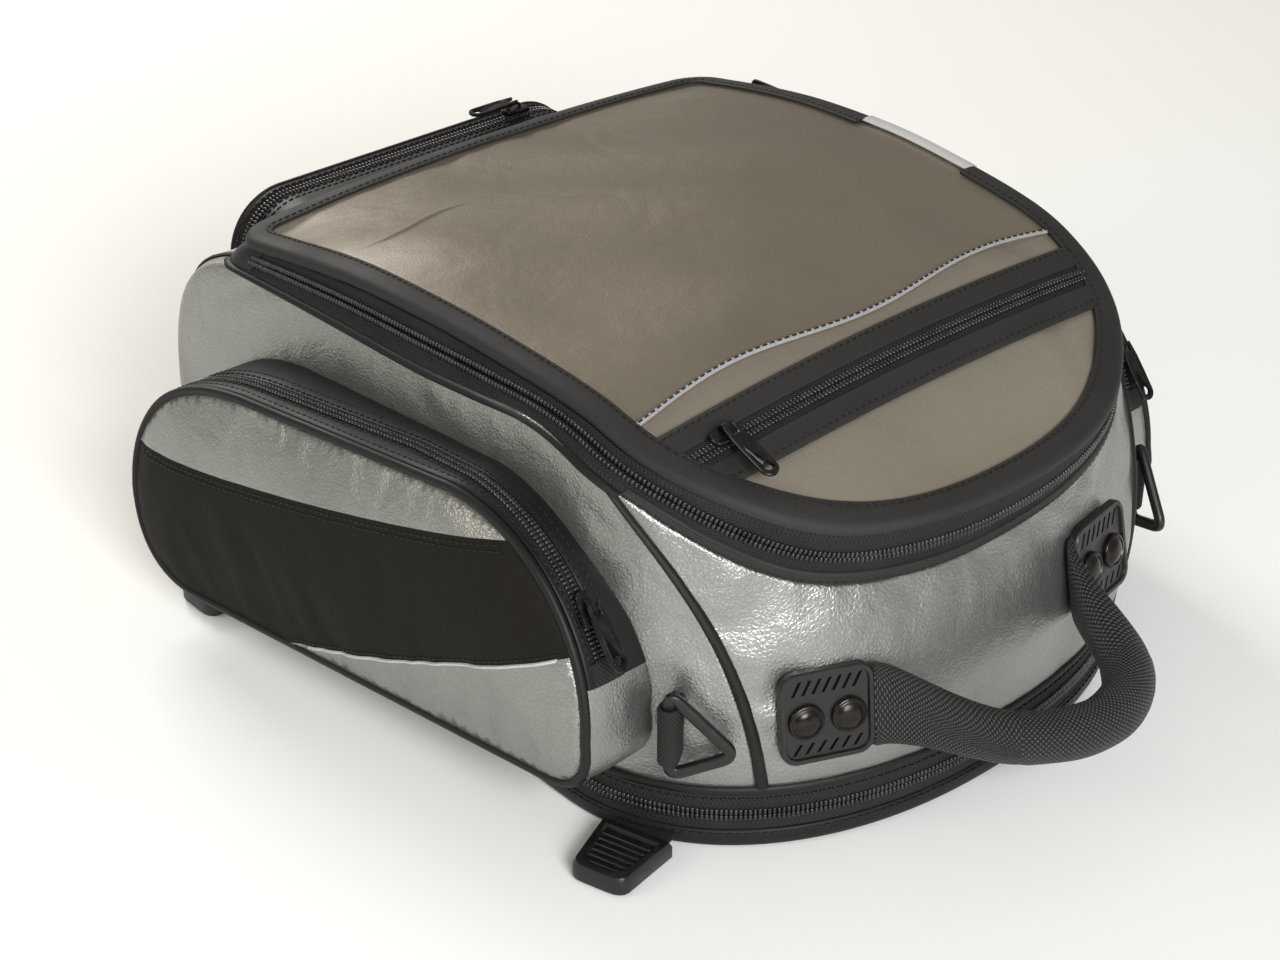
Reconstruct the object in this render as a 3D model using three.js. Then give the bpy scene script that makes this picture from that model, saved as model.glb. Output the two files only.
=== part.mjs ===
// Motorcycle tank bag: a soft D-shaped bag that zips onto a strapped base, with a hinged lid under a
// clear map window, two side pockets, a rear pocket and a front carrying handle.
// Millimetres, +Z up. The origin is on the ground midway between the sides, 11 mm in front of the middle
// of the body's length. The rounded front faces -Y and the hinged rear faces +Y.

import * as THREE from 'three';
import { mergeVertices } from 'three/addons/utils/BufferGeometryUtils.js';

// ---------------------------------------------------------------- driving dimensions

const GAP = 0.35; // clearance between touching pieces
const SHELL = 3; // padded wall: leather, foam and lining
const TAPE = 1.8; // zip tape, gusset and binding thickness
const COIL_BEAD = 1.2; // how far a zip's coil stands out from its tape

// Body, in plan
const HALF_WIDTH = 146;
const NOSE_Y = -178;
const NOSE_START_Y = -75; // where the straight sides turn into the rounded front
const REAR_Y = 200;
const CORNER_RADIUS = 14;
const NOSE_POWER = 0.91; // superellipse exponent of the rounded front
const RIGHT_FULLNESS = 0.21; // the soft nose is stuffed fuller on its +X side: a lower exponent at mid height
const FULLNESS_TOP = 152;
const SIDE_TAPER = 6; // how far each side leans in from the band to its top
const NOSE_TAPER = 16; // how far the nose leans back at NOSE_TAPER_HEIGHT above the panels' bottom
const NOSE_TAPER_HEIGHT = 72;
const LEAN_TOP = 158; // height at which the side and rear tapers are reached
const REAR_TAPER = 50; // the rear wall curls in under the lid's hinged edge
const REAR_CURL = 9; // power of that curl, so that most of it is near the top
const REAR_TOP = 160;

// Base and its zip band, by height
const PAD_TOP = 6;
const BOARD_TOP = 8.8;
const BAND_SPLIT = 17; // where the base zip's two halves meet
const FLOOR_BOTTOM = 22;
const PIPING_RADIUS = 2;
const PANEL_BOTTOM = 31;
const PIPING_Z = PANEL_BOTTOM - PIPING_RADIUS - GAP;

// Height of the body's top edge and of the lid's edge, by distance along Y
const BODY_TOP = [[-178, 102], [-160, 113], [-140, 130], [-115, 147], [-75, 160], [-40, 164], [0, 161],
  [40, 158], [120, 156], [200, 153]];
const LID_EDGE = [[-177, 137], [-160, 140], [-130, 154], [-100, 164.5], [-70, 173.5], [-20, 178.5], [20, 180],
  [77, 177], [155, 165]];

// Lid
const LID_NOSE_Y = -177;
const LID_REAR_Y = 155;
const LID_HALF_FRONT = 128;
const LID_HALF_REAR = 137;
const LID_CORNER = 17;
const LID_DOME = 6;
const LID_TILT = 3.5; // the stuffed lid rides higher on its +X side, most at the middle of its length
const DOME_FADE = 70; // the dome dies out over this length towards the nose
const LID_PANEL = 2;
const LID_BINDING_WIDTH = 13;
const MAP_FRONT_Y = -86;
const MAP_OPENING = [-34, 32]; // stretch of the +X lid edge left unbound so that a map slides in
const LID_ZIP_Y = -112;
const LID_ZIP_WIDTH = 31;
const REAR_SEAM_K = 2.5; // the rear panel meets the side panels in the middle of each rear corner
const ZIP_END_K = 1.98; // the main zip stops just short of the rear corners

// Pockets
const POCKET_ARC = { y: -36, z: 60, radius: 80 };
const POCKET_ZIP_END = 163; // where a side pocket's zip ends on that arc, in degrees
const POCKET_SLIDER_AT = 142;
const POCKET_COIL_X = 155;
const WALL_ROOM = 1.2; // between a pocket's gusset and the wall that it is sewn to
const REAR_WALL_ROOM = 3; // the same at the rear, whose wall curls in
const BAND_ROOM = 3.8; // the same, where the base piping stands out of the wall
const REAR_POCKET_DEPTH = 220; // its face, by distance along Y
const REAR_POCKET_HALF = 100;
const REAR_POCKET_TOP = 150;
const REAR_POCKET_BOTTOM = 44;
const REAR_ROUND = 28; // corner radius
const REAR_COIL_Y = 207;
const REAR_SLIDER_X = 62;

// Handle
// The fuller side of the nose draws its plate up and in.
const PLATES = { left: { x: -85, z: 61 }, right: { x: 66, z: 72 } };
const PLATE_SIZE = 39;
const PLATE_THICKNESS = 4;
const GRIP_RADIUS = 10.5;
const GRIP_TIP_RADIUS = 6.5;
const GRIP_ROUTE = [[-62, -175, 54], [-42, -206, 54], [-22, -223, 54], [0, -229, 54], [21, -223, 56],
  [35, -205, 61], [42, -178, 70]];

// ---------------------------------------------------------------- materials

const finish = (color, roughness, metalness = 0) =>
  new THREE.MeshStandardMaterial({ color, roughness, metalness, side: THREE.DoubleSide });
const MATERIALS = {
  silver: finish(0x8f8f8b, 0.42, 0.35),
  lidSilver: finish(0x867c6e, 0.4, 0.35),
  binding: finish(0x303030, 0.6),
  webbing: finish(0x1b1b1b, 0.85),
  coil: finish(0x0c0c0c, 0.35),
  plastic: finish(0x151515, 0.45),
  rivet: finish(0x2a2421, 0.3, 0.6),
  metal: finish(0x6d6a66, 0.35, 0.8),
  vinyl: new THREE.MeshStandardMaterial({
    color: 0xb8ab98, roughness: 0.15, transparent: true, opacity: 0.35,
  }),
  pad: finish(0x202020, 0.9),
};

// ---------------------------------------------------------------- small tools

const lerp = (a, b, t) => a + (b - a) * t;
const radians = (degrees) => degrees * Math.PI / 180;
const range = (from, to, steps) => Array.from({ length: steps + 1 }, (_, i) => lerp(from, to, i / steps));
const whole = (from, to) => Array.from({ length: to - from + 1 }, (_, i) => from + i);

// Smooth height along a list of [y, z] stops, flat beyond the ends.
function profile(stops, y) {
  const last = stops.length - 1;
  if (y <= stops[0][0]) return stops[0][1];
  if (y >= stops[last][0]) return stops[last][1];
  const i = stops.findIndex(([stop]) => stop > y) - 1;
  const slope = (j) => {
    const a = stops[Math.max(j - 1, 0)];
    const b = stops[Math.min(j + 1, last)];
    return (b[1] - a[1]) / (b[0] - a[0]);
  };
  const [[y0, z0], [y1, z1]] = [stops[i], stops[i + 1]];
  const h = y1 - y0;
  const t = (y - y0) / h;
  return (2 * t ** 3 - 3 * t ** 2 + 1) * z0 + (t ** 3 - 2 * t ** 2 + t) * h * slope(i)
    + (3 * t ** 2 - 2 * t ** 3) * z1 + (t ** 3 - t ** 2) * h * slope(i + 1);
}

// Points and triangles to a geometry whose faces point out.
function solid(points, faces) {
  let volume = 0;
  const [a, b, c] = [new THREE.Vector3(), new THREE.Vector3(), new THREE.Vector3()];
  for (const [i, j, k] of faces) {
    a.copy(points[i]);
    b.copy(points[j]);
    c.copy(points[k]);
    volume += a.dot(b.cross(c)) / 6;
  }
  const geometry = new THREE.BufferGeometry();
  const numbers = points.flatMap((p) => [p.x, p.y, p.z]);
  geometry.setAttribute('position', new THREE.Float32BufferAttribute(numbers, 3));
  geometry.setIndex(faces.flatMap(([i, j, k]) => (volume > 0 ? [i, j, k] : [i, k, j])));
  geometry.computeVertexNormals();
  return geometry;
}

// A sheet between an outer and an inner surface, each a function of (u, v). With closed set, u runs
// round a loop and its list leaves out the repeated last value.
function sheet(us, vs, outer, inner, closed = false) {
  const points = [outer, inner].flatMap((surface) => us.flatMap((u) => vs.map((v) => surface(u, v))));
  const [nu, nv] = [us.length, vs.length];
  const at = (layer, i, j) => layer * nu * nv + (i % nu) * nv + j;
  const faces = [];
  const quad = (p, q, r, s) => faces.push([p, q, r], [p, r, s]);
  const steps = closed ? nu : nu - 1;
  for (let i = 0; i < steps; i++) {
    for (let j = 0; j < nv - 1; j++) {
      quad(at(0, i, j), at(0, i + 1, j), at(0, i + 1, j + 1), at(0, i, j + 1));
      quad(at(1, i, j + 1), at(1, i + 1, j + 1), at(1, i + 1, j), at(1, i, j));
    }
    quad(at(1, i, 0), at(1, i + 1, 0), at(0, i + 1, 0), at(0, i, 0));
    quad(at(0, i, nv - 1), at(0, i + 1, nv - 1), at(1, i + 1, nv - 1), at(1, i, nv - 1));
  }
  if (!closed) {
    for (let j = 0; j < nv - 1; j++) {
      quad(at(0, 0, j), at(0, 0, j + 1), at(1, 0, j + 1), at(1, 0, j));
      quad(at(1, steps, j), at(1, steps, j + 1), at(0, steps, j + 1), at(0, steps, j));
    }
  }
  return solid(points, faces);
}

// A round cord through the points: a loop when closed, else with flat ends. The radius may be a function
// of the point's number.
function cord(path, radius, sides, closed = false) {
  const radiusAt = typeof radius === 'function' ? radius : () => radius;
  const count = path.length;
  const points = [];
  path.forEach((centre, i) => {
    const before = path[closed ? (i - 1 + count) % count : Math.max(i - 1, 0)];
    const after = path[closed ? (i + 1) % count : Math.min(i + 1, count - 1)];
    const tangent = after.clone().sub(before).normalize();
    const hint = Math.abs(tangent.z) < 0.9 ? new THREE.Vector3(0, 0, 1) : new THREE.Vector3(1, 0, 0);
    const across = new THREE.Vector3().crossVectors(tangent, hint).normalize();
    const up = new THREE.Vector3().crossVectors(across, tangent);
    for (let s = 0; s < sides; s++) {
      const angle = s * 2 * Math.PI / sides;
      points.push(centre.clone().addScaledVector(across, radiusAt(i) * Math.cos(angle))
        .addScaledVector(up, radiusAt(i) * Math.sin(angle)));
    }
  });
  const faces = [];
  for (let i = 0; i < (closed ? count : count - 1); i++) {
    for (let s = 0; s < sides; s++) {
      const [p, q] = [i * sides + s, i * sides + (s + 1) % sides];
      const next = ((i + 1) % count) * sides - i * sides;
      faces.push([p, q, q + next], [p, q + next, p + next]);
    }
  }
  if (!closed) {
    for (let s = 1; s < sides - 1; s++) {
      faces.push([0, s + 1, s], [(count - 1) * sides, (count - 1) * sides + s, (count - 1) * sides + s + 1]);
    }
  }
  return solid(points, faces);
}

// A closed cap: rings shrink from the outline to its middle on a top and a bottom surface.
function disc(outline, shares, top, bottom) {
  const [cx, cy] = [0, 1].map((axis) => outline.reduce((sum, p) => sum + p[axis], 0) / outline.length);
  const count = outline.length;
  const points = [];
  for (const surface of [top, bottom]) {
    for (const share of shares) {
      for (const [x, y] of outline) points.push(surface(lerp(cx, x, share), lerp(cy, y, share), share));
    }
    points.push(surface(cx, cy, 0));
  }
  const layer = shares.length * count + 1;
  const faces = [];
  for (let i = 0; i < count; i++) {
    const j = (i + 1) % count;
    for (let r = 0; r < shares.length - 1; r++) {
      const [a, b] = [r * count, (r + 1) * count];
      faces.push([a + i, a + j, b + j], [a + i, b + j, b + i]);
      faces.push([layer + a + j, layer + a + i, layer + b + j]);
      faces.push([layer + b + j, layer + a + i, layer + b + i]);
    }
    const inner = (shares.length - 1) * count;
    faces.push([inner + i, inner + j, layer - 1], [layer + inner + j, layer + inner + i, 2 * layer - 1]);
    faces.push([i, layer + i, j], [j, layer + i, layer + j]);
  }
  return solid(points, faces);
}

// A flat plate of the given shape, from z = 0 to its thickness.
function plate(shape, thickness, bevel = 0, curveSegments = 6) {
  const geometry = new THREE.ExtrudeGeometry(shape, {
    depth: thickness - 2 * bevel,
    bevelEnabled: bevel > 0,
    bevelThickness: bevel,
    bevelSize: bevel,
    bevelOffset: -bevel,
    bevelSegments: 1,
    curveSegments,
  });
  geometry.translate(0, 0, bevel);
  geometry.deleteAttribute('normal');
  geometry.deleteAttribute('uv');
  return mergeVertices(geometry, 1e-4);
}

function roundedRectangle(width, height, radius) {
  const shape = new THREE.Shape();
  const [w, h] = [width / 2 - radius, height / 2 - radius];
  shape.absarc(w, h, radius, 0, Math.PI / 2);
  shape.absarc(-w, h, radius, Math.PI / 2, Math.PI);
  shape.absarc(-w, -h, radius, Math.PI, 1.5 * Math.PI);
  shape.absarc(w, -h, radius, 1.5 * Math.PI, 2 * Math.PI);
  shape.closePath();
  return shape;
}

// Turns a geometry so that its X, Y and Z axes run along three perpendicular directions.
function place(geometry, position, xAxis, zAxis) {
  const z = zAxis.clone().normalize();
  const x = xAxis.clone().addScaledVector(z, -xAxis.dot(z)).normalize();
  const matrix = new THREE.Matrix4().makeBasis(x, new THREE.Vector3().crossVectors(z, x), z);
  matrix.setPosition(position);
  return geometry.applyMatrix4(matrix);
}

const tankBag = new THREE.Group();
tankBag.name = 'tank_bag';
function add(name, geometry, material) {
  const mesh = new THREE.Mesh(geometry, MATERIALS[material]);
  mesh.name = name;
  tankBag.add(mesh);
}

// ---------------------------------------------------------------- the bag's outer surface

// Plan outline. k is 0 at the nose tip, 1 where a side begins, 2 and 3 at the ends of the rear corner
// and 4 at the middle of the rear; negative k is the -X side.
function plan(k, halfWidth, noseY, rearY, corner, power = NOSE_POWER) {
  const side = k < 0 ? -1 : 1;
  const a = Math.abs(k);
  const angle = (a % 1) * Math.PI / 2;
  if (a < 1) {
    const across = Math.sin(angle) ** NOSE_POWER;
    const ahead = (1 - across ** (2 / power)) ** (power / 2);
    return [side * halfWidth * across, lerp(NOSE_START_Y, noseY, ahead)];
  }
  if (a < 2) return [side * halfWidth, lerp(NOSE_START_Y, rearY - corner, a - 1)];
  if (a < 3) {
    const [x, y] = [halfWidth - corner, rearY - corner];
    return [side * (x + corner * Math.cos(angle)), y + corner * Math.sin(angle)];
  }
  return [side * (halfWidth - corner) * (4 - a), rearY];
}

const leanIn = (z) => Math.max(0, (z - PANEL_BOTTOM) / (LEAN_TOP - PANEL_BOTTOM));
const noseAt = (z) => NOSE_Y + NOSE_TAPER * Math.max(0, (z - PANEL_BOTTOM) / NOSE_TAPER_HEIGHT) ** 1.5;
const nosePower = (side, z) => {
  const share = Math.min(1, Math.max(0, (z - PANEL_BOTTOM) / (FULLNESS_TOP - PANEL_BOTTOM)));
  return NOSE_POWER - (side > 0 ? RIGHT_FULLNESS * Math.sin(Math.PI * share) ** 0.8 : 0);
};
const rearWallY = (z) => REAR_Y - REAR_TAPER * leanIn(z) ** REAR_CURL;

// A point on the body wall, inset mm inside its outer face.
function wall(k, z, inset = 0) {
  const lean = leanIn(z);
  const [x, y] = plan(k, HALF_WIDTH - SIDE_TAPER * lean - inset, noseAt(z) + inset, rearWallY(z) - inset,
    CORNER_RADIUS - inset, nosePower(k, z));
  return new THREE.Vector3(x, y, z);
}

// Half-width of the wall on one side at a height and distance along Y.
function wallHalfWidth(side, y, z) {
  const half = HALF_WIDTH - SIDE_TAPER * leanIn(z);
  const depth = NOSE_START_Y - noseAt(z);
  const share = Math.max(0, (NOSE_START_Y - y) / depth);
  const power = 2 / nosePower(side, z);
  return half * Math.max(0, 1 - share ** power) ** (1 / power);
}

function bodyTop(k) {
  const top = profile(BODY_TOP, plan(k, HALF_WIDTH, NOSE_Y, REAR_Y, CORNER_RADIUS)[1]);
  const rear = Math.min(1, Math.max(0, 2 * (Math.abs(k) - REAR_SEAM_K)));
  return lerp(top, REAR_TOP, rear);
}
const domeAt = (y) => LID_DOME * Math.min(1, (y - LID_NOSE_Y) / DOME_FADE);
const tiltAt = (x, y) => LID_TILT * (x / LID_HALF_REAR)
  * Math.max(0, Math.cos(Math.PI * (y - LID_NOSE_Y) / (LID_REAR_Y - LID_NOSE_Y) - Math.PI / 2));
const lidHeight = (x, y, half) => profile(LID_EDGE, y) + tiltAt(x, y)
  + domeAt(y) * (1 - Math.min(1, (x / half) ** 2));
const lidHalf = (y) => lerp(LID_HALF_FRONT, LID_HALF_REAR,
  Math.max(0, (y - NOSE_START_Y) / (LID_REAR_Y - NOSE_START_Y)));

function lidPlan(k, inset = 0) {
  const [x, y] = plan(k, LID_HALF_FRONT - inset, LID_NOSE_Y + inset, LID_REAR_Y - inset, LID_CORNER - inset);
  return [x * lidHalf(y) / LID_HALF_FRONT, y];
}

// Outline half-width of the lid at a distance along Y, for the dome across it.
function lidSpan(y) {
  const share = Math.min(1, Math.max(0, (NOSE_START_Y - y) / (NOSE_START_Y - LID_NOSE_Y)));
  const power = 2 / NOSE_POWER;
  return Math.max(lidHalf(y) * (1 - share ** power) ** (1 / power), 1);
}
const onLid = (x, y, lift) => new THREE.Vector3(x, y, lidHeight(x, y, lidSpan(y)) + lift);

// The zip band between the body's top edge (t = 0) and the lid's edge (t = 1).
function band(k, t, inset = 0) {
  const low = wall(k, bodyTop(k), inset);
  const [x, y] = lidPlan(k, inset);
  return low.lerp(new THREE.Vector3(x, y, profile(LID_EDGE, y) + tiltAt(x, y)), t);
}

const HALF_LOOP = [...range(0, 1, 10).slice(0, -1), ...range(1, 2, 4).slice(0, -1), ...range(2, 3, 3),
  3.33, 3.67, 4];
const LOOP = [...HALF_LOOP, ...HALF_LOOP.slice(1, -1).reverse().map((k) => -k)];
const STRIP = [...range(-ZIP_END_K, -1, 5), ...range(-1, 1, 22).slice(1, -1), ...range(1, ZIP_END_K, 5)];

// ---------------------------------------------------------------- base

function outlineShape(inset) {
  return new THREE.Shape(LOOP.map((k) => {
    const p = wall(k, 0, inset);
    return new THREE.Vector2(p.x, p.y);
  }));
}

// A band round the whole bag, with a coil bead on one edge where beadAt (0 or 1) says.
function hoop(z0, z1, thickness, beadAt) {
  const rows = beadAt === undefined ? [0, 1] : [0, Math.abs(beadAt - 0.3), 1];
  return sheet(LOOP, rows, (k, v) => wall(k, lerp(z0, z1, v), v === beadAt ? -COIL_BEAD : 0),
    (k, v) => wall(k, lerp(z0, z1, v), thickness), true);
}

const BASE_BINDING = { bottom: 1, top: 9, thickness: 2.2 };
add('base_pad', plate(outlineShape(BASE_BINDING.thickness + GAP), PAD_TOP), 'pad');
add('base_board', plate(outlineShape(BASE_BINDING.thickness + GAP), BOARD_TOP - PAD_TOP - GAP)
  .translate(0, 0, PAD_TOP + GAP), 'plastic');
add('base_binding', hoop(BASE_BINDING.bottom, BASE_BINDING.top, BASE_BINDING.thickness), 'binding');

add('base_zip_lower', hoop(BASE_BINDING.top + GAP, BAND_SPLIT - GAP / 2, TAPE, 1), 'coil');
add('base_zip_upper', hoop(BAND_SPLIT + GAP / 2, PIPING_Z - PIPING_RADIUS - GAP, TAPE, 0), 'coil');
add('bag_floor', plate(outlineShape(TAPE + GAP), 3).translate(0, 0, FLOOR_BOTTOM), 'pad');
add('base_piping', cord(LOOP.map((k) => wall(k, PIPING_Z, 1)), PIPING_RADIUS, 6, true), 'webbing');

// Straps leave the base through its binding and end in side-release buckles lying on the ground.
const STRAP_WIDTH = 25;
const STRAP_Z = 5;
const STRAP_THICKNESS = 2;
const STRAPS = {
  front_left: { x: -137, y: -115, angle: 197 },
  rear_left: { x: -HALF_WIDTH, y: 140, angle: 180 },
  rear_right: { x: HALF_WIDTH, y: 140, angle: 0 },
};
const STRAP_START = 1.5;
const STRAP_OUT = 6;
const BUCKLE_LENGTH = 31;
const BUCKLE_HALF = 13; // half of its narrow outer end
const BUCKLE_FLARE = 3;
const BUCKLE_HEIGHT = 9;
for (const [name, { x, y, angle }] of Object.entries(STRAPS)) {
  const direction = new THREE.Vector3(Math.cos(radians(angle)), Math.sin(radians(angle)), 0);
  const strap = new THREE.BoxGeometry(STRAP_OUT - STRAP_START, STRAP_WIDTH, STRAP_THICKNESS)
    .translate((STRAP_OUT + STRAP_START) / 2, 0, 0);
  add(`strap_${name}`, place(strap, new THREE.Vector3(x, y, STRAP_Z), direction, new THREE.Vector3(0, 0, 1)),
    'webbing');
  const buckle = new THREE.Shape();
  buckle.moveTo(0, -BUCKLE_HALF - BUCKLE_FLARE);
  buckle.lineTo(BUCKLE_LENGTH - 6, -BUCKLE_HALF);
  buckle.quadraticCurveTo(BUCKLE_LENGTH, -BUCKLE_HALF, BUCKLE_LENGTH, -BUCKLE_HALF + 7);
  buckle.lineTo(BUCKLE_LENGTH, BUCKLE_HALF - 7);
  buckle.quadraticCurveTo(BUCKLE_LENGTH, BUCKLE_HALF, BUCKLE_LENGTH - 6, BUCKLE_HALF);
  buckle.lineTo(0, BUCKLE_HALF + BUCKLE_FLARE);
  buckle.closePath();
  add(`buckle_${name}`, place(plate(buckle, BUCKLE_HEIGHT, 1.2, 3).translate(STRAP_OUT + GAP, 0, 0),
    new THREE.Vector3(x, y, 0.2), direction, new THREE.Vector3(0, 0, 1)), 'plastic');
}

// ---------------------------------------------------------------- body panels

const SEAM_SLOT = PIPING_RADIUS + 4 * GAP;
const SEAM_K_PER_MM = 1 / 140;
const seamK = (z) => 0.505 + 0.1 * leanIn(z) + 0.285 * leanIn(z) ** 3;
const PANEL_ROWS = range(0, 1, 9);

// v runs from the panel's bottom edge to its top edge. kAt gives the outline position at each height.
function panel(us, kAt) {
  const point = (u, v, inset) => {
    let z = lerp(PANEL_BOTTOM, 140, v);
    for (let pass = 0; pass < 4; pass++) z = lerp(PANEL_BOTTOM, bodyTop(kAt(u, z)) - 3 * GAP, v);
    return wall(kAt(u, z), z, inset);
  };
  return sheet(us, PANEL_ROWS, (u, v) => point(u, v, 0), (u, v) => point(u, v, SHELL));
}

add('front_panel', panel(range(-1, 1, 16), (u, z) => u * (seamK(z) - SEAM_SLOT * SEAM_K_PER_MM)), 'silver');
for (const [name, side] of [['left', -1], ['right', 1]]) {
  const columns = [...range(0, 0.3, 4), ...range(0.3, 0.85, 3).slice(1), ...range(0.85, 1, 3).slice(1)];
  add(`${name}_panel`, panel(columns, (u, z) => side
    * lerp(seamK(z) + SEAM_SLOT * SEAM_K_PER_MM, REAR_SEAM_K, u)), 'silver');
  const seam = range(PANEL_BOTTOM + 1, bodyTop(0.9) - 1, 12).filter((z) => z < bodyTop(seamK(z)) - 1);
  const seamPath = seam.map((z) => wall(side * seamK(z), z, 0.4));
  add(`seam_piping_${name}`, cord(seamPath, PIPING_RADIUS, 6), 'webbing');
}
add('rear_panel', panel(range(-1, 1, 8), (u) => {
  const half = 4 - REAR_SEAM_K - 0.02;
  return u < 0 ? -4 - u * half : 4 - u * half;
}), 'silver');

// ---------------------------------------------------------------- body top and main zip

const BINDING_BOTTOM = 0.06;
const BINDING_TOP = 0.26;
const ZIP_SPLIT = 0.55;
const zipTop = (k) => 1 - (LID_PANEL + 3 * GAP) / (band(k, 1).z - band(k, 0).z);
const bandGap = (k) => GAP / band(k, 0).distanceTo(band(k, 1));

// A strip of the zip band between two shares of its height, with a coil bead on one edge.
function bandStrip(lowEdge, highEdge, thickness, beadAt) {
  const rows = beadAt === undefined ? [0, 1] : [0, Math.abs(beadAt - 0.3), 1];
  const share = (k, v) => lerp(lowEdge(k) + bandGap(k) / 2, highEdge(k) - bandGap(k) / 2, v);
  return sheet(STRIP, rows, (k, v) => band(k, share(k, v), v === beadAt ? -COIL_BEAD : 0),
    (k, v) => band(k, share(k, v), thickness));
}
add('top_binding', bandStrip(() => BINDING_BOTTOM, () => BINDING_TOP, TAPE), 'binding');
add('main_zip_lower', bandStrip(() => BINDING_TOP, () => ZIP_SPLIT, TAPE, 1), 'coil');
add('main_zip_upper', bandStrip(() => ZIP_SPLIT, zipTop, TAPE, 0), 'coil');

// ---------------------------------------------------------------- lid

const SKIN_LIFT = 1.6; // sheets sewn on the lid stand clear of its facets
const lidOutline = (inset) => LOOP.map((k) => lidPlan(k, inset));
const LID_SHARES = [1, 0.92, 0.82, 0.6, 0.3];
add('lid_panel', disc(lidOutline(0), LID_SHARES, (x, y) => onLid(x, y, 0), (x, y) => onLid(x, y, -LID_PANEL)),
  'lidSilver');
const FOAM_TOP = -LID_PANEL - 1.5;
add('lid_foam', disc(lidOutline(LID_BINDING_WIDTH), LID_SHARES, (x, y) => onLid(x, y, FOAM_TOP),
  (x, y) => onLid(x, y, FOAM_TOP - SHELL)), 'pad');

// Edge binding, in two lengths that leave the map opening free.
const sideK = (y) => 1 + (y - NOSE_START_Y) / (LID_REAR_Y - LID_CORNER - NOSE_START_Y);
function lidBinding(ks) {
  const surface = (lift) => (k, v) => {
    const [x, y] = lidPlan(k, lerp(-0.6, LID_BINDING_WIDTH, v));
    return onLid(x, y, lift);
  };
  return sheet(ks, [0, 1], surface(SKIN_LIFT + TAPE), surface(SKIN_LIFT));
}
const REAR_MIDDLE = 3.997;
add('lid_binding', lidBinding([-REAR_MIDDLE, -3.67, -3.33, ...range(-3, -2, 3), ...range(-2, -1, 4).slice(1),
  ...range(-1, 1, 22).slice(1), sideK(MAP_OPENING[0])]), 'binding');
add('lid_binding_right', lidBinding([...range(sideK(MAP_OPENING[1]), 2, 2), ...range(2, 3, 3).slice(1),
  3.33, 3.67, REAR_MIDDLE]), 'binding');

const EDGE_ROOM = LID_BINDING_WIDTH + 2;
const lidStrip = (us, ys, room, lift, thickness) => sheet(us, ys,
  (u, y) => onLid(u * (lidSpan(y) - room), y, lift(y) + thickness),
  (u, y) => onLid(u * (lidSpan(y) - room), y, SKIN_LIFT));
add('map_window', lidStrip(range(-1, 1, 8), range(MAP_FRONT_Y, LID_REAR_Y - EDGE_ROOM, 10), EDGE_ROOM,
  () => SKIN_LIFT, 1), 'vinyl');
const lidZipRows = [-1, -0.2, 0, 0.2, 1].map((v) => LID_ZIP_Y + v * LID_ZIP_WIDTH / 2);
add('lid_zip', lidStrip(range(-1, 1, 10), lidZipRows, EDGE_ROOM + 3,
  (y) => SKIN_LIFT + (y === LID_ZIP_Y ? COIL_BEAD : 0), 1.4), 'coil');

// ---------------------------------------------------------------- sliders and pulls

const SLIDER = { length: 14, width: 9, height: 4 };
const PULL = { length: 27, width: 8, thickness: 1.6, lift: 1.8 };

// A zip slider on the point, its length along the zip, with a pull that points the way asked.
function slider(name, point, along, normal, pullWay) {
  const body = plate(roundedRectangle(SLIDER.length, SLIDER.width, 3), SLIDER.height, 0.8, 3);
  add(`${name}_slider`, place(body, point, along, normal), 'metal');
  const { length, width, thickness } = PULL;
  const tab = new THREE.Shape();
  tab.moveTo(-0.6, -width / 2 + 1);
  tab.lineTo(length - width / 2, -width / 2);
  tab.absarc(length - width / 2, 0, width / 2, -Math.PI / 2, Math.PI / 2);
  tab.lineTo(-0.6, width / 2 - 1);
  tab.closePath();
  const eye = new THREE.Path();
  eye.absarc(length - width / 2 - 0.5, 0, 2, 0, 2 * Math.PI);
  tab.holes.push(eye);
  const hinge = point.clone().addScaledVector(normal.clone().normalize(), SLIDER.height + PULL.lift);
  add(`${name}_pull`, place(plate(tab, thickness, 0, 3), hinge, pullWay, normal), 'metal');
}

function surfaceNormal(surface, u, v, step = 0.01) {
  const du = surface(u + step, v).sub(surface(u - step, v));
  const dv = surface(u, v + step).sub(surface(u, v - step));
  return du.cross(dv).normalize();
}

const LID_SLIDER_X = -95;
const lidNormal = surfaceNormal((x, y) => onLid(x, y, 0), LID_SLIDER_X, LID_ZIP_Y, 2);
slider('lid', onLid(LID_SLIDER_X, LID_ZIP_Y, SKIN_LIFT + COIL_BEAD + 1.4 + 0.6),
  new THREE.Vector3(1, 0, 0), lidNormal, new THREE.Vector3(0, -1, -0.4));

// The main zip's slider waits at the rear of the +X side and runs forward along its straight.
const MAIN_SLIDER_K = 1.8;
const mainStart = band(MAIN_SLIDER_K, ZIP_SPLIT);
const mainNormal = surfaceNormal((k, t) => band(k, t), MAIN_SLIDER_K, ZIP_SPLIT);
slider('main', mainStart.clone().addScaledVector(mainNormal, COIL_BEAD + 1.2), new THREE.Vector3(0, -1, 0),
  mainNormal, new THREE.Vector3(0, 1, 0));

// ---------------------------------------------------------------- pockets

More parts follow.
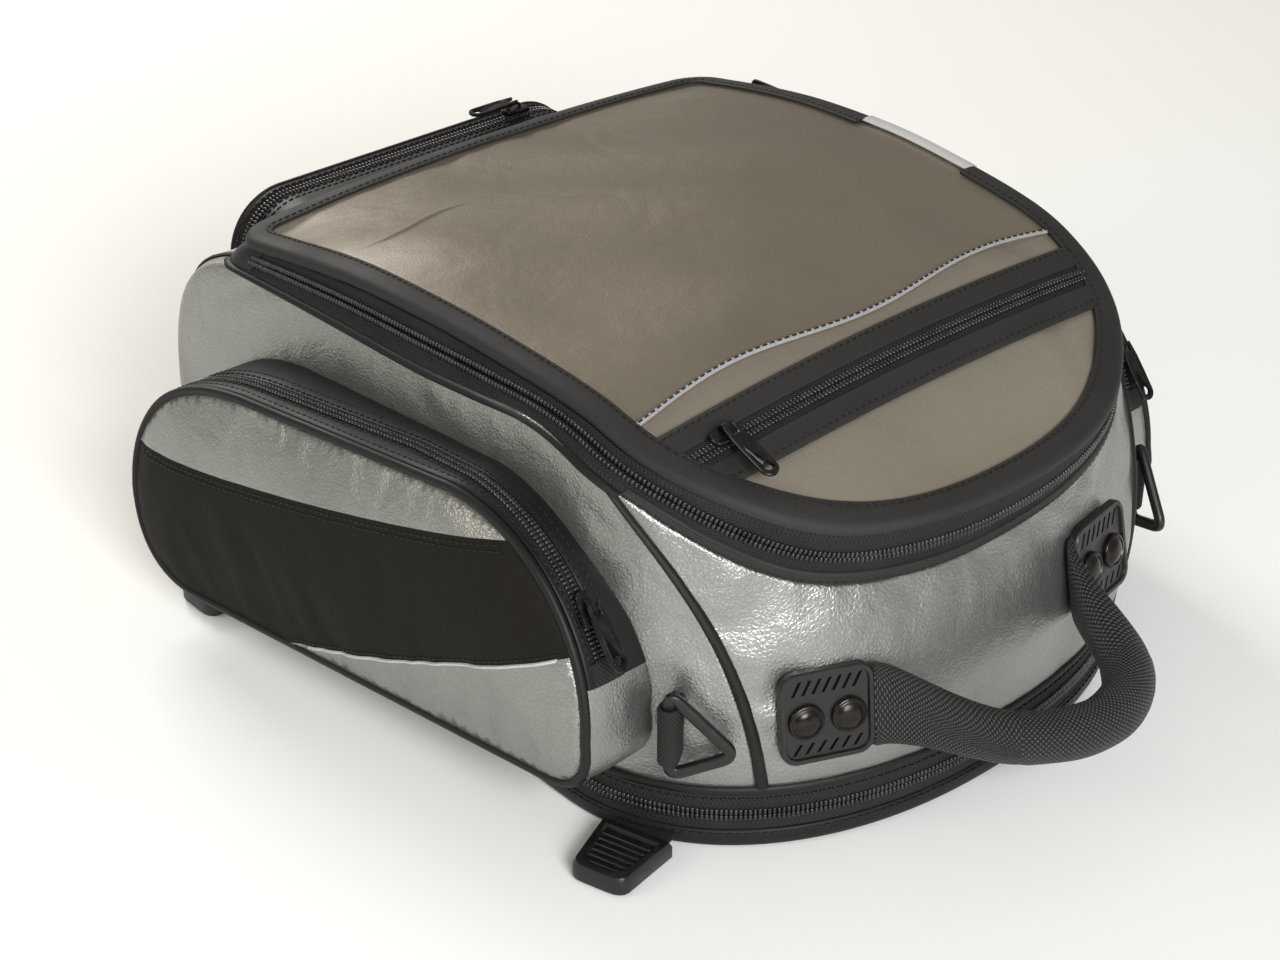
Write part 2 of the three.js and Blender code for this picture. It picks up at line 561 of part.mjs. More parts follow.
// A pocket stands on a wall. Its outline lies in that wall's plane, by distance along the wall (a) and
// height (z), and depth runs outwards. The zip path and the cloth path together close the outline.
function pocket({ name, toBag, zipPath, clothPath, inner, outer, coil, steps, bulge }) {
  const zipPoints = zipPath.getSpacedPoints(steps[0]);
  const clothPoints = clothPath.getSpacedPoints(steps[1]);
  const loop = [...zipPoints, ...clothPoints.slice(1, -1)];
  const middle = loop.reduce((sum, p) => sum.add(p), new THREE.Vector2()).divideScalar(loop.length);
  const inward = loop.map((p, i) => {
    const before = loop[(i - 1 + loop.length) % loop.length];
    const chord = loop[(i + 1) % loop.length].clone().sub(before).normalize();
    const normal = new THREE.Vector2(-chord.y, chord.x);
    return normal.dot(middle.clone().sub(p)) > 0 ? normal : normal.negate();
  });
  const edge = (i, inset) => {
    const j = i % loop.length;
    return loop[j].clone().addScaledVector(inward[j], inset);
  };
  const at = (p, depth) => toBag(p.x, p.y, depth);
  const rim = piped(name) ? 2 * PIPING_RADIUS + 2 * GAP : TAPE + GAP;

  const zipEnd = steps[0];
  const coilRows = [0, 1, 2, 3, 4];
  const depthRow = (p, row) => [inner(p.x, p.y), coil - 4, coil, coil + 4, outer(p.x, p.y) - rim][row];
  add(`${name}_zip`, sheet(whole(0, zipEnd), coilRows,
    (i, row) => at(edge(i, row === 2 ? -COIL_BEAD : 0), depthRow(edge(i, 0), row)),
    (i, row) => at(edge(i, TAPE), depthRow(edge(i, 0), row))), 'coil');

  const cloth = whole(zipEnd, loop.length);
  const trimmed = (i, inset) => {
    const from = edge(i, inset);
    if (i === zipEnd) return from.lerp(edge(i + 1, inset), GAP / from.distanceTo(edge(i + 1, inset)));
    if (i === loop.length) return from.lerp(edge(i - 1, inset), GAP / from.distanceTo(edge(i - 1, inset)));
    return from;
  };
  const clothDepth = (p, v) => lerp(inner(p.x, p.y), outer(p.x, p.y) - rim, v);
  add(`${name}_gusset`, sheet(cloth, [0, 1], (i, v) => at(trimmed(i, 0), clothDepth(edge(i, 0), v)),
    (i, v) => at(trimmed(i, TAPE), clothDepth(edge(i, 0), v))), 'silver');

  if (piped(name)) {
    const pipe = loop.map((_, i) => {
      const p = edge(i, PIPING_RADIUS / 2);
      return at(p, outer(p.x, p.y) - PIPING_RADIUS - GAP);
    });
    add(`${name}_piping`, cord(pipe, PIPING_RADIUS, 6, true), 'webbing');
  }
  const faceInset = piped(name) ? 1.5 * PIPING_RADIUS + 1.5 * GAP : 0;
  const face = loop.map((_, i) => edge(i, faceInset).toArray());
  const crown = (lift) => (x, y, share) => toBag(x, y, outer(x, y) + bulge * (1 - share ** 2) + lift);
  add(`${name}_face`, disc(face, [1, 0.72, 0.36], crown(0), crown(-TAPE)), 'silver');
}
function piped(name) {
  return name !== 'rear_pocket';
}

const ARC = POCKET_ARC;
const sideZip = new THREE.Path();
sideZip.moveTo(150, 103);
sideZip.quadraticCurveTo(132, 124, 92, 129);
sideZip.lineTo(ARC.y, ARC.z + ARC.radius);
sideZip.absarc(ARC.y, ARC.z, ARC.radius, Math.PI / 2, radians(POCKET_ZIP_END));
const sideCloth = new THREE.Path();
sideCloth.absarc(ARC.y, ARC.z, ARC.radius, radians(POCKET_ZIP_END), Math.PI);
sideCloth.lineTo(-117, 56);
sideCloth.quadraticCurveTo(-118, 39, -97, 37);
sideCloth.lineTo(118, 21);
sideCloth.quadraticCurveTo(160, 18, 165, 58);
sideCloth.quadraticCurveTo(166, 84, 150, 103);
for (const [name, side] of [['left_pocket', -1], ['right_pocket', 1]]) {
  pocket({
    name,
    toBag: (y, z, depth) => new THREE.Vector3(side * depth, y, z),
    zipPath: sideZip,
    clothPath: sideCloth,
    inner: (y, z) => wallHalfWidth(side, y, z) + (z < PANEL_BOTTOM + 5 ? BAND_ROOM : WALL_ROOM),
    outer: (y, z) => 178 + 0.085 * y - 0.1 * (z - 80),
    coil: POCKET_COIL_X,
    steps: [22, 18],
    bulge: 6,
  });
  const angle = radians(POCKET_SLIDER_AT);
  const normal = new THREE.Vector3(0, Math.cos(angle), Math.sin(angle));
  const down = new THREE.Vector3(0, -Math.sin(angle), Math.cos(angle));
  const point = new THREE.Vector3(side * POCKET_COIL_X, ARC.y, ARC.z)
    .addScaledVector(normal, ARC.radius + COIL_BEAD + 0.8);
  slider(name, point, down, normal, down);
}

const rearZip = new THREE.Path();
const rearZipEnd = REAR_POCKET_TOP - REAR_ROUND - 12;
const rearArc = (path, side, z, from, to) => path.absarc(side * (REAR_POCKET_HALF - REAR_ROUND), z,
  REAR_ROUND, from, to, true);
rearZip.moveTo(-REAR_POCKET_HALF, rearZipEnd);
rearArc(rearZip, -1, REAR_POCKET_TOP - REAR_ROUND, Math.PI, Math.PI / 2);
rearArc(rearZip, 1, REAR_POCKET_TOP - REAR_ROUND, Math.PI / 2, 0);
rearZip.lineTo(REAR_POCKET_HALF, rearZipEnd);
const rearCloth = new THREE.Path();
rearCloth.moveTo(REAR_POCKET_HALF, rearZipEnd);
rearArc(rearCloth, 1, REAR_POCKET_BOTTOM + REAR_ROUND, 0, -Math.PI / 2);
rearArc(rearCloth, -1, REAR_POCKET_BOTTOM + REAR_ROUND, -Math.PI / 2, -Math.PI);
rearCloth.lineTo(-REAR_POCKET_HALF, rearZipEnd);
pocket({
  name: 'rear_pocket',
  toBag: (x, z, depth) => new THREE.Vector3(x, depth, z),
  zipPath: rearZip,
  clothPath: rearCloth,
  inner: (x, z) => rearWallY(z) + REAR_WALL_ROOM,
  outer: () => REAR_POCKET_DEPTH - 4,
  coil: REAR_COIL_Y,
  steps: [20, 16],
  bulge: 4,
});
slider('rear_pocket', new THREE.Vector3(REAR_SLIDER_X, REAR_COIL_Y, REAR_POCKET_TOP + COIL_BEAD + 0.6),
  new THREE.Vector3(1, 0, 0), new THREE.Vector3(0, 0, 1), new THREE.Vector3(-1, 0, 0));

// ---------------------------------------------------------------- handle

const RIVET = { offset: 8.8, drop: 1.5, head: 7.4, shank: 2.8 };
// A plate's own X runs towards -X and its own Y runs down.
for (const [name, { x, z: height }] of Object.entries(PLATES)) {
  const side = Math.sign(x);
  const k = side * Math.asin((Math.abs(x) / HALF_WIDTH) ** (1 / NOSE_POWER)) * 2 / Math.PI;
  const centre = wall(k, height);
  const normal = surfaceNormal((u, v) => wall(u, v), k, height);
  if (normal.y > 0) normal.negate();
  const across = new THREE.Vector3(0, 0, 1).cross(normal).negate();
  const foot = centre.clone().addScaledVector(normal, 0.6);
  const shape = roundedRectangle(PLATE_SIZE, PLATE_SIZE, 7);
  for (const share of [-1, 1]) {
    const hole = new THREE.Path();
    hole.absarc(share * RIVET.offset, RIVET.drop, RIVET.shank + GAP, 0, 2 * Math.PI);
    shape.holes.push(hole);
  }
  add(`handle_plate_${name}`, place(plate(shape, PLATE_THICKNESS, 0, 4), foot, across, normal), 'plastic');
  const top = PLATE_THICKNESS + GAP;
  const dome = [[0, GAP], [RIVET.shank, GAP], [RIVET.shank, top], [RIVET.head, top],
    [RIVET.head - 1, top + 1.6], [3, top + 2.6], [0, top + 2.8]].map(([r, z]) => new THREE.Vector2(r, z));
  for (const [spot, share] of [['inner', side], ['outer', -side]]) {
    const rivet = new THREE.LatheGeometry(dome, 12).rotateX(Math.PI / 2)
      .translate(share * RIVET.offset, RIVET.drop, 0);
    add(`rivet_${name}_${spot}`, place(rivet, foot, across, normal), 'rivet');
  }
}

// The grip stands out in a bow between the plates and rises to its higher end.
const gripRoute = new THREE.CatmullRomCurve3(GRIP_ROUTE.map((p) => new THREE.Vector3(...p)));
const gripPath = gripRoute.getSpacedPoints(18);
const GRIP_TIP_STEPS = 3; // the path's steps over which the grip thickens
const gripRadius = (i) => lerp(GRIP_TIP_RADIUS, GRIP_RADIUS,
  Math.min(1, Math.min(i, gripPath.length - 1 - i) / GRIP_TIP_STEPS));
add('handle_grip', cord(gripPath, gripRadius, 10), 'webbing');

// ---------------------------------------------------------------- triangular rings

// Each ring hangs from a bar beside the wall, its plane turned from +X by the angle.
const RINGS = { left: { x: -138, angle: -43.8 }, right: { x: 142, angle: -112 } };
const RING = { y: -129, top: 79, bottom: 40, apexZ: 50, reach: 26, bar: 2.2, corner: [7, 2.5] };
const RING_TAB = { thickness: 2.4, height: 28, fromBar: [2.8, 1.4], fromWall: [7.2, 4] };
function ringPath({ x, angle }) {
  const way = new THREE.Vector3(Math.cos(radians(angle)), Math.sin(radians(angle)), 0);
  const at = (out, z) => new THREE.Vector3(x, RING.y, z).addScaledVector(way, out);
  const corners = [[0, RING.bottom], [0, RING.top], [RING.reach, RING.apexZ]];
  return corners.flatMap(([out, z], i) => {
    const near = (q, mm) => {
      const share = mm / Math.hypot(q[0] - out, q[1] - z);
      return at(lerp(out, q[0], share), lerp(z, q[1], share));
    };
    const [before, after] = [corners[(i + 2) % 3], corners[(i + 1) % 3]];
    const [far, close] = RING.corner;
    return [near(before, far), near(before, close), near(after, close), near(after, far)];
  });
}
for (const [name, ring] of Object.entries(RINGS)) {
  add(`ring_${name}`, cord(ringPath(ring), RING.bar, 6, true), 'plastic');
  const [tip, root] = [RING_TAB.fromBar, RING_TAB.fromWall].map(([dx, dy]) => new THREE.Vector3(
    ring.x - Math.sign(ring.x) * dx, RING.y + dy, (RING.top + RING.bottom) / 2,
  ));
  const tab = new THREE.BoxGeometry(root.distanceTo(tip), RING_TAB.thickness, RING_TAB.height);
  const middle = root.clone().add(tip).multiplyScalar(0.5);
  add(`ring_tab_${name}`, place(tab, middle, tip.clone().sub(root), new THREE.Vector3(0, 0, 1)), 'webbing');
}

export default tankBag;
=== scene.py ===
"""A motorcycle tank bag: silver leather over a strapped base, with a lid under a clear map window.

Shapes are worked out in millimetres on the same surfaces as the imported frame, and made in metres.
"""

import math

import bpy
import numpy as np
from mathutils import Matrix, Vector
from mathutils.bvhtree import BVHTree
from mathutils.geometry import delaunay_2d_cdt


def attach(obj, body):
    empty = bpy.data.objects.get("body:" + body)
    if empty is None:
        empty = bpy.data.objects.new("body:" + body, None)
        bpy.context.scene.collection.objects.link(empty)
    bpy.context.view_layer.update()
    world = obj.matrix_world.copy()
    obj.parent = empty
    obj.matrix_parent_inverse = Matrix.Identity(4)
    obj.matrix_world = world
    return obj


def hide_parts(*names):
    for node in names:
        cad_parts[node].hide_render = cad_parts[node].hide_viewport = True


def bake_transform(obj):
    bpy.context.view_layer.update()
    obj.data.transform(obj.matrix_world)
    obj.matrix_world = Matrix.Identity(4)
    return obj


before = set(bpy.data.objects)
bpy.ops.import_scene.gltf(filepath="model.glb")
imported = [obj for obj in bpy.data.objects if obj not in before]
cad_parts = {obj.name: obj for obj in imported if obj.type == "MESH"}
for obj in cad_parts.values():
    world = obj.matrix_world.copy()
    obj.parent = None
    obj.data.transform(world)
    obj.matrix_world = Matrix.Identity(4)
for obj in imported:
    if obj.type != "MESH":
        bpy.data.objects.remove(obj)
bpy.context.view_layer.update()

MM = 0.001
MIDDLE = Vector((0, 10, 90))  # a point inside the bag, which every skin faces away from
SIDES = (("left", -1), ("right", 1))

# ---------------------------------------------------------------- the frame's driving dimensions

GAP = 0.35
TAPE = 1.8
PIPING_RADIUS = 2.0
HALF_WIDTH = 146
NOSE_Y = -178
NOSE_START_Y = -75
REAR_Y = 200
CORNER_RADIUS = 14
NOSE_POWER = 0.91
RIGHT_FULLNESS = 0.21
FULLNESS_TOP = 152
SIDE_TAPER = 6
NOSE_TAPER = 16
NOSE_TAPER_HEIGHT = 72
LEAN_TOP = 158
REAR_TAPER = 50
REAR_CURL = 9
REAR_TOP = 160
PAD_TOP = 6
BOARD_TOP = 8.8
FLOOR_BOTTOM = 22
PANEL_BOTTOM = 31
PIPING_Z = PANEL_BOTTOM - PIPING_RADIUS - GAP
BODY_TOP = [(-178, 102), (-160, 113), (-140, 130), (-115, 147), (-75, 160), (-40, 164), (0, 161),
            (40, 158), (120, 156), (200, 153)]
LID_EDGE = [(-177, 137), (-160, 140), (-130, 154), (-100, 164.5), (-70, 173.5), (-20, 178.5), (20, 180),
            (77, 177), (155, 165)]
LID_NOSE_Y = -177
LID_REAR_Y = 155
LID_HALF_FRONT = 128
LID_HALF_REAR = 137
LID_CORNER = 17
LID_DOME = 6
LID_TILT = 3.5
DOME_FADE = 70
LID_PANEL = 2
BINDING_WIDTH = 13
BINDING_INNER = 9.6  # where sheets sewn on the lid tuck under its edge binding
MAP_FRONT_Y = -86
MAP_OPENING = (-34, 32)
LID_ZIP_Y = -112
LID_ZIP_WIDTH = 31
LID_SHADED_CREASE = ((-118, 90), (-52, 88))  # one sharp fold pressed into the lid, its line darkened in the lid leather's colour with painted shade
SKIN_LIFT = 1.6
FOAM_TOP = -3.5
FOAM = 3
REAR_RISE_K = 2.5  # where the body's top edge begins to change to the rear wall's height
REAR_SEAM_K = 2.75
ZIP_END_K = 1.98
BINDING_BOTTOM = 0.06
BINDING_TOP = 0.26
ZIP_SPLIT = 0.55
POCKET_ARC = {"y": -36, "z": 60, "radius": 80}
POCKET_COIL = 155
POCKET_COIL_DRIFT = 0.115  # how much nearer the face the zip lies, per mm behind the arc
WALL_ROOM = 1.2
BAND_ROOM = 3.8
REAR_DEPTH = 216
REAR_HALF = 100
REAR_POCKET_TOP = 150
REAR_POCKET_BOTTOM = 44
REAR_ROUND = 28
REAR_COIL = 207
REAR_SLIDER_X = 62
REAR_ZIP_END = REAR_POCKET_TOP - REAR_ROUND - 12
PLATES = {"left": (-85, 61), "right": (66, 72)}
PLATE_SIZE = 39
RIVET_OFFSET = 8.8
RIVET_DROP = 1.5
GRIP_RADIUS = 10.5
GRIP_ROUTE = [(-62, -175, 54), (-42, -206, 54), (-22, -223, 54), (0, -229, 54), (21, -223, 56),
              (35, -205, 61), (42, -178, 70)]
RINGS = {"left": (-138, -43.8), "right": (142, -112)}
RING = {"y": -129, "top": 79, "bottom": 40, "apex": 50, "reach": 26}
STRAPS = {"front_left": (-137, -115, 197), "rear_left": (-HALF_WIDTH, 140, 180),
          "rear_right": (HALF_WIDTH, 140, 0)}
SLIDER_HEIGHT = 4
PULL_LIFT = 1.8
LID_SLIDER_X = -95
MAIN_SLIDER_K = 1.8
POCKET_ZIP_END = 163
POCKET_SLIDER_AT = 142


# ---------------------------------------------------------------- small tools

def lerp(a, b, t):
    return a + (b - a) * t


def clamp(value):
    return min(1.0, max(0.0, value))


def span(start, stop, steps):
    return [lerp(start, stop, i / steps) for i in range(steps + 1)]


def chain(*runs):
    """Several (start, stop, steps) spans end to end, with each shared point once."""
    return [value for run in runs[:-1] for value in span(*run)[:-1]] + span(*runs[-1])


def turns(count):
    """Evenly spaced angles round a full circle."""
    return [2 * math.pi * n / count for n in range(count)]


def every(value):
    """A size that may change along a strip, as a function, whether it was given as one or as a number."""
    return value if callable(value) else lambda u: value


def heading(degrees):
    """A level direction, turned from +X towards +Y."""
    return Vector((math.cos(math.radians(degrees)), math.sin(math.radians(degrees)), 0))


def hermite(t):
    """Weights of a smooth step's start, slope at the start, end, and slope at the end."""
    return 2 * t**3 - 3 * t**2 + 1, t**3 - 2 * t**2 + t, 3 * t**2 - 2 * t**3, t**3 - t**2


def profile(stops, y):
    """Smooth height along (y, z) stops, flat beyond the ends."""
    last = len(stops) - 1
    if y <= stops[0][0]:
        return stops[0][1]
    if y >= stops[last][0]:
        return stops[last][1]
    i = next(n for n, stop in enumerate(stops) if stop[0] > y) - 1

    def slope(j):
        a, b = stops[max(j - 1, 0)], stops[min(j + 1, last)]
        return (b[1] - a[1]) / (b[0] - a[0])

    (y0, z0), (y1, z1) = stops[i], stops[i + 1]
    h = y1 - y0
    w = hermite((y - y0) / h)
    return w[0] * z0 + w[1] * h * slope(i) + w[2] * z1 + w[3] * h * slope(i + 1)


# ---------------------------------------------------------------- the bag's surfaces, in millimetres

def plan(k, half_width, nose_y, rear_y, corner, power=NOSE_POWER):
    """Plan outline: k is 0 at the nose, 1 where a side begins, 2 to 3 round the rear corner, 4 at the
    rear's middle, and negative on the -X side."""
    side = -1 if k < 0 else 1
    a = abs(k)
    angle = (a % 1) * math.pi / 2
    if a < 1:
        across = math.sin(angle) ** NOSE_POWER
        ahead = max(0.0, 1 - across ** (2 / power)) ** (power / 2)
        return side * half_width * across, lerp(NOSE_START_Y, nose_y, ahead)
    if a < 2:
        return side * half_width, lerp(NOSE_START_Y, rear_y - corner, a - 1)
    if a < 3:
        return (side * (half_width - corner + corner * math.cos(angle)),
                rear_y - corner + corner * math.sin(angle))
    return side * (half_width - corner) * (4 - a), rear_y


def lean_in(z):
    return max(0, (z - PANEL_BOTTOM) / (LEAN_TOP - PANEL_BOTTOM))


def nose_at(z):
    return NOSE_Y + NOSE_TAPER * max(0, (z - PANEL_BOTTOM) / NOSE_TAPER_HEIGHT) ** 1.5


def nose_power(side, z):
    share = clamp((z - PANEL_BOTTOM) / (FULLNESS_TOP - PANEL_BOTTOM))
    return NOSE_POWER - (RIGHT_FULLNESS * math.sin(math.pi * share) ** 0.8 if side > 0 else 0)


def rear_wall_y(z):
    return REAR_Y - REAR_TAPER * lean_in(z) ** REAR_CURL


def wall(k, z, lift=0):
    """A point on the body wall, lift mm outside its outer face."""
    x, y = plan(k, HALF_WIDTH - SIDE_TAPER * lean_in(z) + lift, nose_at(z) - lift, rear_wall_y(z) + lift,
                CORNER_RADIUS + lift, nose_power(k, z))
    return Vector((x, y, z))


def wall_half_width(side, y, z):
    half = HALF_WIDTH - SIDE_TAPER * lean_in(z)
    share = max(0, (NOSE_START_Y - y) / (NOSE_START_Y - nose_at(z)))
    power = 2 / nose_power(side, z)
    return half * max(0, 1 - share**power) ** (1 / power)


def body_top(k):
    top = profile(BODY_TOP, plan(k, HALF_WIDTH, NOSE_Y, REAR_Y, CORNER_RADIUS)[1])
    return lerp(top, REAR_TOP, clamp(2 * (abs(k) - REAR_RISE_K)))


def tilt_at(x, y):
    along = math.pi * (y - LID_NOSE_Y) / (LID_REAR_Y - LID_NOSE_Y) - math.pi / 2
    return LID_TILT * x / LID_HALF_REAR * max(0, math.cos(along))


def lid_half(y):
    return lerp(LID_HALF_FRONT, LID_HALF_REAR, max(0, (y - NOSE_START_Y) / (LID_REAR_Y - NOSE_START_Y)))


def lid_plan(k, inset=0):
    x, y = plan(k, LID_HALF_FRONT - inset, LID_NOSE_Y + inset, LID_REAR_Y - inset, LID_CORNER - inset)
    return x * lid_half(y) / LID_HALF_FRONT, y


def lid_span(y):
    """Half-width of the lid's outline at y."""
    share = clamp((NOSE_START_Y - y) / (NOSE_START_Y - LID_NOSE_Y))
    power = 2 / NOSE_POWER
    return max(lid_half(y) * (1 - share**power) ** (1 / power), 1)


def lid_swell(x, y):
    """Soft waves of the lid's leather and the vinyl over it, dying out at its edges."""
    room = clamp((lid_span(y) - abs(x)) / 45) * clamp((LID_REAR_Y - y) / 40) * clamp((y - MAP_FRONT_Y) / 30)
    waves = 1.5 * math.sin(0.031 * x - 0.022 * y + 0.6) + 1.0 * math.sin(0.052 * y + 0.017 * x)
    waves += 0.5 * math.sin(0.083 * x + 0.061 * y)
    return room * waves


def on_lid(x, y, lift=0):
    dome = LID_DOME * min(1, (y - LID_NOSE_Y) / DOME_FADE) * (1 - min(1, (x / lid_span(y)) ** 2))
    return Vector((x, y, profile(LID_EDGE, y) + tilt_at(x, y) + dome + lid_swell(x, y) + lift))


def band(k, t, lift=0):
    """The zip band between the body's top edge (t = 0) and the lid's edge (t = 1)."""
    x, y = lid_plan(k, -lift)
    return wall(k, body_top(k), lift).lerp(Vector((x, y, profile(LID_EDGE, y) + tilt_at(x, y))), t)


def band_height(k):
    return (band(k, 1) - band(k, 0)).length


def seam_k(z):
    return 0.505 + 0.1 * lean_in(z) + 0.285 * lean_in(z) ** 3


# Ways to place a point: u along a strip, mm across it, mm off the surface.

def on_band(k, across, lift):
    return band(k, across / band_height(k), lift)


def on_lid_edge(k, inset, lift):
    return on_lid(*lid_plan(k, inset), lift)


LEFT_RUNS = ((-4, -3, 22), (-3, -2, 8), (-2, -1, 40), (-1, 1, 96))  # from the rear's middle round the nose
REAR_RUNS = ((2, 3, 8), (3, 4, 22))
LOOP = chain(*LEFT_RUNS, (1, 2, 40), *REAR_RUNS)[:-1]
ZIP_RUN = chain((-ZIP_END_K, -1, 40), (-1, 1, 96), (1, ZIP_END_K, 40))


# ---------------------------------------------------------------- mesh building

def mesh_object(name, points, faces, uvs=None, sharp=40):
    mesh = bpy.data.meshes.new(name)
    mesh.from_pydata((np.array(points, float) * MM).tolist(), [], faces)
    layer = mesh.uv_layers.new(name="UVMap")
    if uvs is not None:
        layer.data.foreach_set("uv", (np.array(uvs, float) * MM).ravel())
    mesh.polygons.foreach_set("use_smooth", [True] * len(mesh.polygons))
    mesh.set_sharp_from_angle(angle=math.radians(sharp))
    piece = bpy.data.objects.new(name, mesh)
    bpy.context.scene.collection.objects.link(piece)
    return piece


def lattice(name, rows, loop_u=False, loop_v=False, sharp=40):
    """Rows of points joined by quads. A tube (loop_v alone) gets end caps. UVs run in real lengths."""
    points = np.array([[tuple(p) for p in row] for row in rows], float)
    nu, nv = points.shape[:2]
    index = np.arange(nu * nv).reshape(nu, nv)
    i, j = np.meshgrid(range(nu if loop_u else nu - 1), range(nv if loop_v else nv - 1), indexing="ij")
    i2, j2 = (i + 1) % nu, (j + 1) % nv
    faces = np.stack([index[i, j], index[i2, j], index[i2, j2], index[i, j2]], -1).reshape(-1, 4).tolist()

    def run(axis):
        steps = np.linalg.norm(np.roll(points, -1, axis) - points, axis=2).mean(1 - axis)
        return np.concatenate([[0], np.cumsum(steps)])

    u, v = run(0), run(1)
    uvs = np.stack([np.stack([u[a], v[b]], -1) for a, b in ((i, j), (i + 1, j), (i + 1, j + 1), (i, j + 1))],
                   -2).reshape(-1, 4, 2).tolist()
    if loop_v and not loop_u:
        for cap in (index[0][::-1], index[-1]):
            faces.append(cap.tolist())
            uvs.append([[0, v[n % nv]] for n in range(nv)])
    flat = points.reshape(-1, 3)
    if loop_v:
        fan = [(f[0], f[n], f[n + 1]) for f in faces for n in range(1, len(f) - 1)]
        a, b, c = (flat[[t[n] for t in fan]] - flat.mean(0) for n in range(3))
        facing = (a * np.cross(b, c)).sum()
    else:
        a, b, c = (flat[[f[n] for f in faces]] for n in range(3))
        facing = (np.cross(b - a, c - a) * (a - np.array(MIDDLE))).sum()
    if facing < 0:
        faces = [f[::-1] for f in faces]
        uvs = [f[::-1] for f in uvs]
    return mesh_object(name, flat, faces, [p for f in uvs for p in f], sharp)


def sweep(name, us, section, place, loop=False):
    """Sweeps a closed section of (across, lift) points along place(u, across, lift)."""
    return lattice(name, [[place(u, a, h) for a, h in section(u)] for u in us], loop, True)


def tape(name, us, low, high, place, thickness=TAPE, top=0.0, crown=0.0, loop=False):
    """A flat strip between two widths, with rounded edges. Its outer face stands top above the surface."""
    r = thickness / 2
    turn = [math.radians(a) for a in (-90, -45, 0, 45, 90)]
    low, high = every(low), every(high)

    def section(u):
        a, b = low(u), high(u)
        points = [(a + r - r * math.cos(t), top - r + r * math.sin(t)) for t in turn]
        points += [(lerp(a, b, s), top + crown * 4 * s * (1 - s)) for s in (0.2, 0.4, 0.6, 0.8)]
        points += [(b - r + r * math.cos(t), top - r + r * math.sin(t)) for t in reversed(turn)]
        return points + [(lerp(b, a, s), top - thickness) for s in (0.25, 0.5, 0.75)]

    return sweep(name, us, section, place, loop)


def pipe(name, us, across, lift, place, radius, sides=10, loop=False):
    """A round cord on a surface, its middle at across and lift."""
    across = every(across)
    return sweep(name, us, lambda u: [(across(u) + radius * math.cos(t), lift + radius * math.sin(t))
                                      for t in turns(sides)], place, loop)


def patch(name, outline, surface, spacing, seams=()):
    """A skin over a flat outline, in triangles, raised by surface(x, y). It keeps edges along seams."""
    points = [Vector(p[:2]) for p in outline]
    edges = [(n, (n + 1) % len(points)) for n in range(len(points))]
    for seam in seams:
        first = len(points)
        points += [Vector(p[:2]) for p in seam]
        edges += [(first + n, first + n + 1) for n in range(len(seam) - 1)]
    fixed = np.array([tuple(p) for p in points])
    low, high = fixed.min(0), fixed.max(0)
    rise = spacing * math.sqrt(0.75)
    for row in range(int((high[1] - low[1]) / rise) + 1):
        y = low[1] + row * rise
        for column in range(int((high[0] - low[0]) / spacing) + 1):
            x = low[0] + (column + 0.5 * (row % 2)) * spacing
            if np.hypot(fixed[:, 0] - x, fixed[:, 1] - y).min() > 0.62 * spacing:
                points.append(Vector((x, y)))
    flat, _, faces, _, _, _ = delaunay_2d_cdt(points, edges, [], 1, 1e-3)
    raised = [surface(p.x, p.y) for p in flat]
    a, b, c = (raised[n] for n in faces[len(faces) // 2][:3])
    if (b - a).cross(c - a).dot(a - MIDDLE) < 0:
        faces = [f[::-1] for f in faces]
    return mesh_object(name, raised, faces, [flat[n] for f in faces for n in f])


def capsules(name, centres, ways, normals, length, radius):
    """Many small rounded rods in one mesh, each lying along its way."""
    sides = 6
    rings = [(-0.5, 0.0), (-0.42, 0.75), (-0.2, 1.0), (0.2, 1.0), (0.42, 0.75), (0.5, 0.0)]
    shape = np.array([(x * length, r * radius * math.cos(t), r * radius * math.sin(t))
                      for x, r in rings for t in turns(sides)])
    quads = np.array([(i * sides + s, i * sides + (s + 1) % sides, (i + 1) * sides + (s + 1) % sides,
                       (i + 1) * sides + s) for i in range(len(rings) - 1) for s in range(sides)])
    centres, ways, normals = (np.array([tuple(v) for v in vs], float) for vs in (centres, ways, normals))
    axes = np.stack([ways, np.cross(normals, ways), normals], 1)
    points = (shape[None] @ axes + centres[:, None]).reshape(-1, 3)
    faces = (quads[None] + np.arange(len(centres))[:, None, None] * len(shape)).reshape(-1, 4)
    return mesh_object(name, points, faces.tolist(), sharp=80)


def measured(us, place, across, lift, pitch):
    """Evenly spaced points along a line on a surface, with the way ahead and the normal at each."""
    across = every(across)
    points, raised = (np.array([tuple(place(u, across(u), height)) for u in us])
                      for height in (lift, lift + 1))
    runs = np.concatenate([[0], np.cumsum(np.linalg.norm(np.diff(points, axis=0), axis=1))])
    stops = np.arange(pitch / 2, runs[-1], pitch)

    def sample(values, shift=0.0):
        return np.stack([np.interp(stops + shift, runs, values[:, n]) for n in range(3)], -1)

    way = sample(points, 0.5) - sample(points, -0.5)
    way /= np.linalg.norm(way, axis=1, keepdims=True)
    out = sample(raised - points)
    out -= (out * way).sum(1, keepdims=True) * way
    out /= np.linalg.norm(out, axis=1, keepdims=True)
    return sample(points), way, out


STITCH = {"pitch": 3.6, "length": 2.7, "radius": 0.42}


def stitches(name, us, across, lift, place, body):
    """A sewn line: short threads along a line on a surface."""
    at, way, out = measured(us, place, across, lift, STITCH["pitch"])
    dress(capsules(name, at, way, out, STITCH["length"], STITCH["radius"]), body, "thread")


COIL = {"pitch": 1.9, "length": 2.9, "radius": 0.86}


def coil(name, us, across, lift, place, body):
    """One half of a zip's coil: a close row of turns across a line."""
    at, way, out = measured(us, place, across, lift, COIL["pitch"])
    turn_rods = capsules(name, at, np.cross(out, way), out, COIL["length"], COIL["radius"])
    dress(turn_rods, body, "coil")


